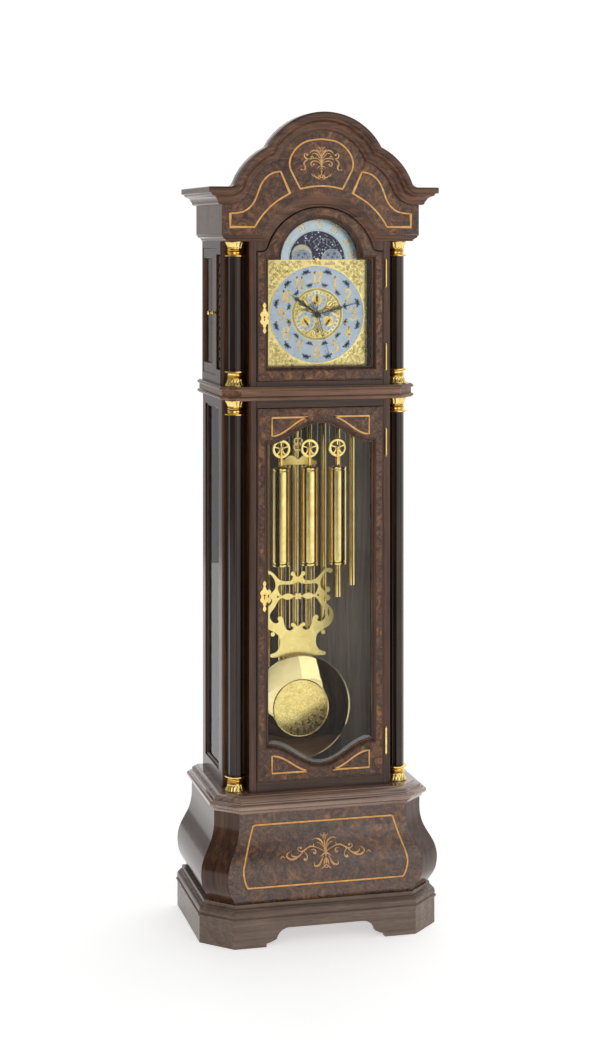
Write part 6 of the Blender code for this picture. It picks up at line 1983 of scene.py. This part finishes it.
def pulley(name):
    """Grooved rim, hub and five spokes."""
    body = f"pulley_{name}"
    centre = joint[f"pulley_{name}_pin"]
    groove, rim = CABLE_ARM - CABLE_R - 0.0001, 0.0255
    bm = bmesh.new()
    shape = [(groove - 0.003, -0.0032), (rim - 0.001, -0.004), (rim, -0.0036), (rim, -0.003),
             (rim - 0.0012, -0.0022), (groove + 0.0004, -0.001), (groove, 0.0), (groove + 0.0004, 0.001),
             (rim - 0.0012, 0.0022), (rim, 0.003), (rim, 0.0036), (rim - 0.001, 0.004),
             (groove - 0.003, 0.0032),
             (groove - 0.0034, 0.0)]
    lathe(bm, shape, centre, "Y", 72, closed=True)
    hub = [(0.003, -0.004), (0.0055, -0.0042), (0.0068, -0.0034), (0.0068, 0.0034), (0.0055, 0.0042),
           (0.003, 0.004)]
    lathe(bm, hub, centre, "Y", 32, closed=True)
    for k in range(5):
        angle = radians(72.0 * k + 90.0)
        across = Vector((-sin(angle), 0.0, cos(angle)))
        out = Vector((cos(angle), 0.0, sin(angle)))
        rings = []
        for r, width in ((0.006, 0.0024), (0.0085, 0.0016), (0.013, 0.0014), (0.0165, 0.0017),
                         (0.019, 0.0026)):
            middle = centre + out * r
            rings.append([middle + across * width + Vector((0, -0.0016, 0)), middle - across * width +
                          Vector((0, -0.0016, 0)), middle - across * width + Vector((0, 0.0016, 0)),
                          middle + across * width + Vector((0, 0.0016, 0))])
        loft(bm, rings)
    piece(f"{body}_spoked", bm, "brass", body, [body])


def cable(name):
    """Two runs, which on the clock lengthen as the weight sinks but are drawn here at one length on no body;
    the half turn on the pulley; and the end to the drum.
    """
    centre = joint[f"pulley_{name}_pin"]
    x, y, z = centre
    top = SEAT_UNDER - GAP
    step = 0.004
    for label, side in (("left", -1.0), ("right", 1.0)):
        bm = bmesh.new()
        count = int((top - z) / step)
        rope(bm, [(x + side * CABLE_ARM, y, top - (top - z) * k / count) for k in range(count + 1)])
        run = piece(f"cable_{name}_{label}", bm, "cable", "case", smooth=60.0)
        run.parent = None
        del run["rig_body"]
        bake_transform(run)
        if label == "left":
            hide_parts(f"cable_{name}")
    bm = bmesh.new()
    rope(bm, [(x + CABLE_ARM * cos(radians(a)), y, z + CABLE_ARM * sin(radians(a))) for a in range(180, 361,
                                                                                                   6)])
    piece(f"cable_{name}_bend", bm, "cable", f"weight_{name}", smooth=60.0)
    drum = joint[f"winding_drum_{name}_arbor"]
    bm = bmesh.new()
    rope(bm, [(x - CABLE_ARM, y, top + 0.0004 + (drum.z - top) * k / 30.0) for k in range(31)])
    piece(f"cable_{name}_to_drum", bm, "cable", smooth=60.0)
    bm = bmesh.new()
    lathe(bm, raised(top, [(0.003, -0.0005), (0.0036, -0.0012), (0.0036, -0.007), (0.0026, -0.0085)]),
          (x + CABLE_ARM, y, 0.0), "Z", 20)
    piece(f"cable_{name}_ferrule", bm, "brass")


def winding_drum(name):
    """Grooved drum with its great wheel, square arbor and turns of cable."""
    body = f"winding_drum_{name}"
    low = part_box(body)[0]
    centre = joint[f"{body}_arbor"]
    radius = CABLE_ARM - CABLE_R - 0.0001
    front, rear = -0.0437, 0.0167
    bm = bmesh.new()
    profile = raised(front, [(0.004, 0.002), (0.0256, 0.002), (0.0262, 0.0026), (0.0262, 0.0048),
                             (0.0256, 0.0054), (radius, 0.0058)])
    pitch = 0.0029
    y = front + 0.0066
    while y < rear - 0.0155:
        profile += [(radius + 0.0002, y), (radius - 0.0004, y + pitch * 0.5), (radius + 0.0002, y + pitch)]
        y += pitch
    profile += raised(rear, [(radius, -0.012), (0.0256, -0.0118), (0.0262, -0.0112), (0.0262, -0.0086),
                             (0.0256, -0.008), (0.004, -0.008)])
    lathe(bm, profile, (centre.x, 0.0, centre.z), "Y", 64)
    teeth = 96
    outline = []
    for k in range(teeth * 2):
        r = 0.034 if k % 2 == 0 else 0.0322
        for shift in (-0.22, 0.22):
            angle = 2.0 * pi * (k + shift) / (teeth * 2)
            outline.append((centre.x + r * cos(angle), centre.z + r * sin(angle)))
    spokes = []
    for k in range(6):
        begin, stop = 60.0 * k + 9.0, 60.0 * k + 51.0
        spokes.append(arc(centre.x, centre.z, 0.0292, begin, stop, 8) + arc(centre.x, centre.z, 0.0274,
                                                                            stop, begin, 8))
    plate(bm, outline, spokes, rear - 0.007, rear - 0.0042)
    lathe(bm, raised(rear, [(0.0026, -0.008), (0.0045, -0.0075), (0.0045, -0.004), (0.0036, -0.0036),
                            (0.0036, -0.0003)]), (centre.x, 0.0, centre.z), "Y", 24)
    piece(f"{body}_grooved", bm, "brass_satin", body, [body])
    bm = bmesh.new()
    half = 0.0018
    lathe(bm, [(0.0026, -0.06), (0.0026, front + 0.0022)], (centre.x, 0.0, centre.z), "Y", 20)
    box(bm, (centre.x - half, low.y, centre.z - half), (centre.x + half, -0.0598, centre.z + half))
    piece(f"{body}_arbor", bm, "steel", body)
    bm = bmesh.new()
    turns = []
    start_y, pitch = -0.015, 0.0029
    for k in range(0, 5 * 36 + 1):
        angle = radians(180.0 + 10.0 * k)
        turns.append((centre.x + CABLE_ARM * cos(angle), start_y + pitch * k / 36.0,
                      centre.z + CABLE_ARM * sin(angle)))
    rope(bm, turns)
    piece(f"cable_{name}_turns", bm, "cable", body, smooth=60.0)


for weight_name in WEIGHTS:
    weight(weight_name)
    pulley(weight_name)
    cable(weight_name)
    winding_drum(weight_name)

# ---------------------------------------------------------------- movement details, chimes and fittings

def escape_wheel():
    """Toothed wheel with four openings, on its arbor."""
    centre = joint["escape_arbor"]
    low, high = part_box("escape_wheel")
    bm = bmesh.new()
    outline = []
    for k in range(30):
        for r, shift in ((0.0108, 0.0), (0.0129, 0.52), (0.0127, 0.66), (0.011, 0.8)):
            angle = 2.0 * pi * (k + shift) / 30
            outline.append((centre.x + r * cos(angle), centre.z + r * sin(angle)))
    holes = []
    for k in range(4):
        begin, stop = 90.0 * k + 14.0, 90.0 * k + 76.0
        holes.append(arc(centre.x, centre.z, 0.009, begin, stop, 8) + arc(centre.x, centre.z, 0.004, stop,
                                                                          begin, 8))
    plate(bm, outline, holes, centre.y - 0.001, centre.y + 0.001)
    lathe(bm, [(0.001, low.y), (0.0014, low.y + 0.0004), (0.0014, centre.y - 0.004),
               (0.003, centre.y - 0.0036),
               (0.003, centre.y + 0.003), (0.0014, centre.y + 0.0034), (0.0014, high.y - 0.0004),
               (0.001, high.y)],
          (centre.x, 0.0, centre.z), "Y", 20)
    piece("escape_wheel_toothed", bm, "brass_satin", "escape_wheel", ["escape_wheel"])


escape_wheel()


def chime_tubes():
    """Nine open tubes hung from a rack by their plugs."""
    ends = (0.56, 0.59, 0.62, 0.655, 0.695, 0.74, 0.79, 0.865, 0.897)
    y, z, radius, pitch = 0.15, 1.445, 0.0105, 0.042
    span = pitch * 4.0 + 0.02
    bm = bmesh.new()
    for i, end in enumerate(ends):
        x = (i - 4) * pitch
        wall = 0.0014
        profile = [(radius - wall, end), (radius - 0.0003, end), (radius, end + 0.0004),
                   (radius, z - 0.0225),
                   (radius - 0.0004, z - 0.0215), (radius - 0.0022, z - 0.021)]
        lathe(bm, profile + [(radius - 0.0022, z - 0.023), (radius - wall, z - 0.024)], (x, y, 0.0), "Z",
              40,
              closed=True)
        lathe(bm, raised(z, [(0.0005, -0.0232), (radius - 0.0016, -0.023), (radius - 0.0016, -0.0212),
                             (0.0026, -0.02), (0.002, -0.0185), (0.002, -0.004)]), (x, y, 0.0), "Z", 24)
    piece("chime_tubes_hollow", bm, "brass_tube", stands_for=["chime_tubes"])
    bm = bmesh.new()
    box(bm, (-span, y - 0.008, z - 0.005), (span, y + 0.008, z + 0.007))
    for sign in (-1.0, 1.0):
        x = sign * (span - 0.012)
        box(bm, (x - 0.01, y + 0.0081, z - 0.003), (x + 0.01, BACK - 0.0129, z + 0.005))
    for i in range(9):
        x = (i - 4) * pitch
        lathe(bm, raised(z, [(0.0044, 0.007), (0.0044, 0.0092), (0.0036, 0.0098), (0.0012, 0.01)]),
              (x, y, 0.0), "Z", 6)
    piece("chime_rack", bm, "steel")


chime_tubes()


def side_door(side_name, sign):
    """Hood side door with a lipped frame and a brass knob."""
    body = f"hood_side_door_{side_name}"
    pane_low, pane_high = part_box(f"hood_side_glass_{side_name}")
    y0, y1, z0, z1 = 0.014, 0.188, 1.519, 1.867
    window = (pane_low.y - GAP, pane_high.y + GAP, pane_low.z - GAP, pane_high.z + GAP)
    inner, outer = sign * (HOOD_SIDE_X - 0.017), sign * (HOOD_SIDE_X - 0.001)
    bm = bmesh.new()
    plate(bm, rectangle(y0, y1, z0, z1), [rectangle(window[0] - 0.0045, window[1] + 0.0045,
                                                    window[2] - 0.0045,
                                                   window[3] + 0.0045)], inner, outer, SIDE)
    piece(f"{body}_frame", bm, "walnut_z", body, [body])
    bm = bmesh.new()
    lines = []
    for inset, h in ((-0.0045, 0.0), (-0.004, 0.0006), (-0.0022, 0.0004), (-0.0012, -0.0014), (0.0, -0.003),
                     (0.0, -0.016), (-0.0045, -0.016)):
        at = outer + sign * h
        loop = rectangle(window[0] + inset, window[1] - inset, window[2] + inset, window[3] - inset)
        lines.append([(at, u, v) for u, v in loop])
    wrapped(bm, lines, closed=True)
    piece(f"{body}_lip", bm, "moulding_z", body)
    bm = bmesh.new()
    knob = [(0.0008, 0.0), (0.0062, 0.0002), (0.0066, 0.001), (0.0034, 0.002), (0.0022, 0.004),
            (0.003, 0.007), (0.0055, 0.0095), (0.0062, 0.012), (0.0052, 0.0143), (0.003, 0.0154),
            (0.0004, 0.0157)]
    work = bmesh.new()
    lathe(work, knob, (0.0, 0.0, 0.0), "Z", 32)
    at = Vector((outer, 0.0585, 1.689))
    merge(bm, work, Matrix.Translation(at) @ Matrix.Rotation(sign * pi / 2.0, 4, "Y"))
    piece(f"{body}_knob", bm, "brass", body)


def sound_fret(side_name, sign):
    """Pierced fret with its cloth behind the sound slot."""
    slot_y = (-0.044, 0.006)
    slot_z = (1.535, 1.852)
    bm = bmesh.new()
    x_fret = sign * (HOOD_SIDE_X - 0.006)

    def on_side(u, v, w):
        return (x_fret + sign * w, u, v)

    cells = 11
    height = (slot_z[1] - slot_z[0]) / cells
    middle = 0.5 * (slot_y[0] + slot_y[1])
    half = 0.5 * (slot_y[1] - slot_y[0])
    for k in range(cells):
        z = slot_z[0] + height * (k + 0.5)
        for way in (-1.0, 1.0):
            swing = [(middle + way * half, z - 0.5 * height),
                     (middle + way * half * 0.45, z - 0.2 * height),
                     (middle, z), (middle - way * half * 0.45, z + 0.2 * height),
                     (middle - way * half, z + 0.5 * height)]
            ribbon(bm, smooth_line(swing, 4), 0.003, on_side, 0.0015, sink=0.0015)
        ribbon(bm, circle(middle, z, 0.007, 20), 0.0026, on_side, 0.0015, closed=True, sink=0.0015)
    piece(f"sound_fret_{side_name}", bm, "moulding_z")
    cloth = sorted((sign * (HOOD_SIDE_X - 0.014), sign * (HOOD_SIDE_X - 0.012)))
    bm = bmesh.new()
    box(bm, (cloth[0], slot_y[0], slot_z[0]), (cloth[1], slot_y[1], slot_z[1]))
    piece(f"sound_cloth_{side_name}", bm, "felt")


for side_name, sign in SIDES:
    side_door(side_name, sign)
    sound_fret(side_name, sign)


def trunk_side_fittings():
    """Glazing beads round the trunk's side panes and the clips that hold them."""
    for side_name, sign in SIDES:
        pane_low, pane_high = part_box(f"trunk_side_glass_{side_name}")
        y0, y1, z0, z1 = pane_low.y, pane_high.y, pane_low.z, pane_high.z
        for place, x in (("outer", TRUNK_SIDE_X - 0.0085), ("inner", TRUNK_SIDE_X - 0.017)):
            bm = bmesh.new()
            lines = []
            toward = sign if place == "outer" else -sign
            for inset, h in ((0.0, 0.0), (0.007, 0.0), (0.007, 0.0012), (0.005, 0.0032), (0.0024, 0.0044),
                             (0.0, 0.0046)):
                at = sign * (x if place == "outer" else x + 0.0035) + toward * h
                lines.append([(at, u, v) for u, v in rectangle(y0 + inset, y1 - inset, z0 + inset,
                                                               z1 - inset)])
            wrapped(bm, lines, closed=True)
            piece(f"trunk_side_{side_name}_{place}_bead", bm, "walnut_z")
        bm = bmesh.new()
        for z in (z0 + 0.24 * (z1 - z0), z0 + 0.76 * (z1 - z0)):
            at = sign * (TRUNK_SIDE_X - 0.0195)
            low = (min(at, at - sign * 0.003), y1 - 0.016, z - 0.008)
            high = (max(at, at - sign * 0.003), y1 + 0.006, z + 0.008)
            box(bm, low, high)
        piece(f"trunk_side_{side_name}_clips", bm, "brass_satin")


trunk_side_fittings()

# ---------------------------------------------------------------- looks of the carried CAD nodes

CARRIED = {
    "back_board": "rough_wood", "roof_board": "rough_wood", "seat_board": "inside",
    "movement_frame": "brass_satin", "anchor": "steel", "frieze": "burl",
    "hood_side_left": "walnut_z", "hood_side_right": "walnut_z",
    "trunk_side_left": "walnut_z", "trunk_side_right": "walnut_z",
}
DEFAULT = {
    "walnut": "walnut_z", "burl": "burl", "glass": "glass", "brass": "brass", "silvered": "silvered",
    "enamel": "night", "black": "black", "steel": "steel",
}
for node_name, node in frame["nodes"].items():
    kind = node.data.materials[0].name.split(".")[0].rsplit("_", 1)[-1]
    finish_name = CARRIED.get(node_name, DEFAULT[kind])
    node.data.materials.clear()
    node.data.materials.append(look[finish_name])

# ---------------------------------------------------------------- stage, lights and camera

bm = bmesh.new()
bmesh.ops.create_grid(bm, x_segments=1, y_segments=1, size=6.0)
floor_mesh = bpy.data.meshes.new("floor")
bm.to_mesh(floor_mesh)
bm.free()
floor = bpy.data.objects.new("floor", floor_mesh)
bpy.context.scene.collection.objects.link(floor)
floor_mesh.materials.append(look["floor"])


def lamp(name, power, size, at, towards):
    """A soft rectangular lamp that faces a point."""
    data = bpy.data.lights.new(name, "AREA")
    data.shape = "RECTANGLE"
    data.size, data.size_y = size
    data.energy = power
    made = bpy.data.objects.new(name, data)
    bpy.context.scene.collection.objects.link(made)
    made.location = at
    made.rotation_euler = (Vector(towards) - Vector(at)).to_track_quat("-Z", "Y").to_euler()


lamp("key", 30.0, (2.6, 2.6), (-1.8, -3.8, 3.4), (0.0, 0.0, 1.2))
lamp("fill", 16.0, (3.2, 3.4), (2.6, -4.2, 1.9), (0.0, 0.0, 1.1))


def sky_level(axis_vector, *stops):
    """Grey levels by the cosine between a direction of the sky and the given one."""
    tree = bpy.context.scene.world.node_tree
    along = add(tree, "VectorMath", {"operation": "DOT_PRODUCT"})
    tree.links.new(add(tree, "TexCoord").outputs["Generated"], along.inputs[0])
    along.inputs[1].default_value = axis_vector
    share = add(tree, "MapRange", Value=along.outputs["Value"], From_Min=-1.0)
    return ramp(tree, share.outputs["Result"], *[(0.5 + 0.5 * cosine, (level,) * 3) for cosine,
                                                 level in stops])


world = bpy.data.worlds.new("studio")
bpy.context.scene.world = world
world.use_nodes = True
backdrop = sky_level((0.0, 1.0, 0.0), (-0.6, 0.34), (-0.1, 0.46), (0.24, 0.88), (0.6, 1.0))
shaded_left = sky_level((1.0, 0.0, 0.0), (-0.22, 0.42), (-0.02, 1.0))
front_glow = sky_level((0.45, -0.87, -0.18), (0.72, 0.0), (0.93, 0.62))
wall = mix(world.node_tree, 1.0, backdrop, shaded_left, "MULTIPLY")
whole_sky = mix(world.node_tree, 1.0, wall, front_glow, "ADD")
sky = world.node_tree.nodes["Background"]
world.node_tree.links.new(whole_sky, sky.inputs["Color"])
sky.inputs["Strength"].default_value = 1.02
bpy.context.scene.view_settings.view_transform = "Standard"

CAMERA_AT = (-1.4125, -5.475, 1.9138)
CAMERA_TURN = -14.24                 # degrees about the vertical; the camera looks level
CAMERA_LENS = 69.95                  # millimetres
CAMERA_SHIFT = -0.2776               # brings the foot into the frame, as the level camera stands high
camera_data = bpy.data.cameras.new("camera")
camera = bpy.data.objects.new("camera", camera_data)
bpy.context.scene.collection.objects.link(camera)
camera_data.lens = CAMERA_LENS
camera_data.shift_y = CAMERA_SHIFT
camera.location = CAMERA_AT
camera.rotation_euler = (pi / 2.0, 0.0, radians(CAMERA_TURN))
bpy.context.scene.camera = camera

# ---------------------------------------------------------------- end

bpy.context.view_layer.update()
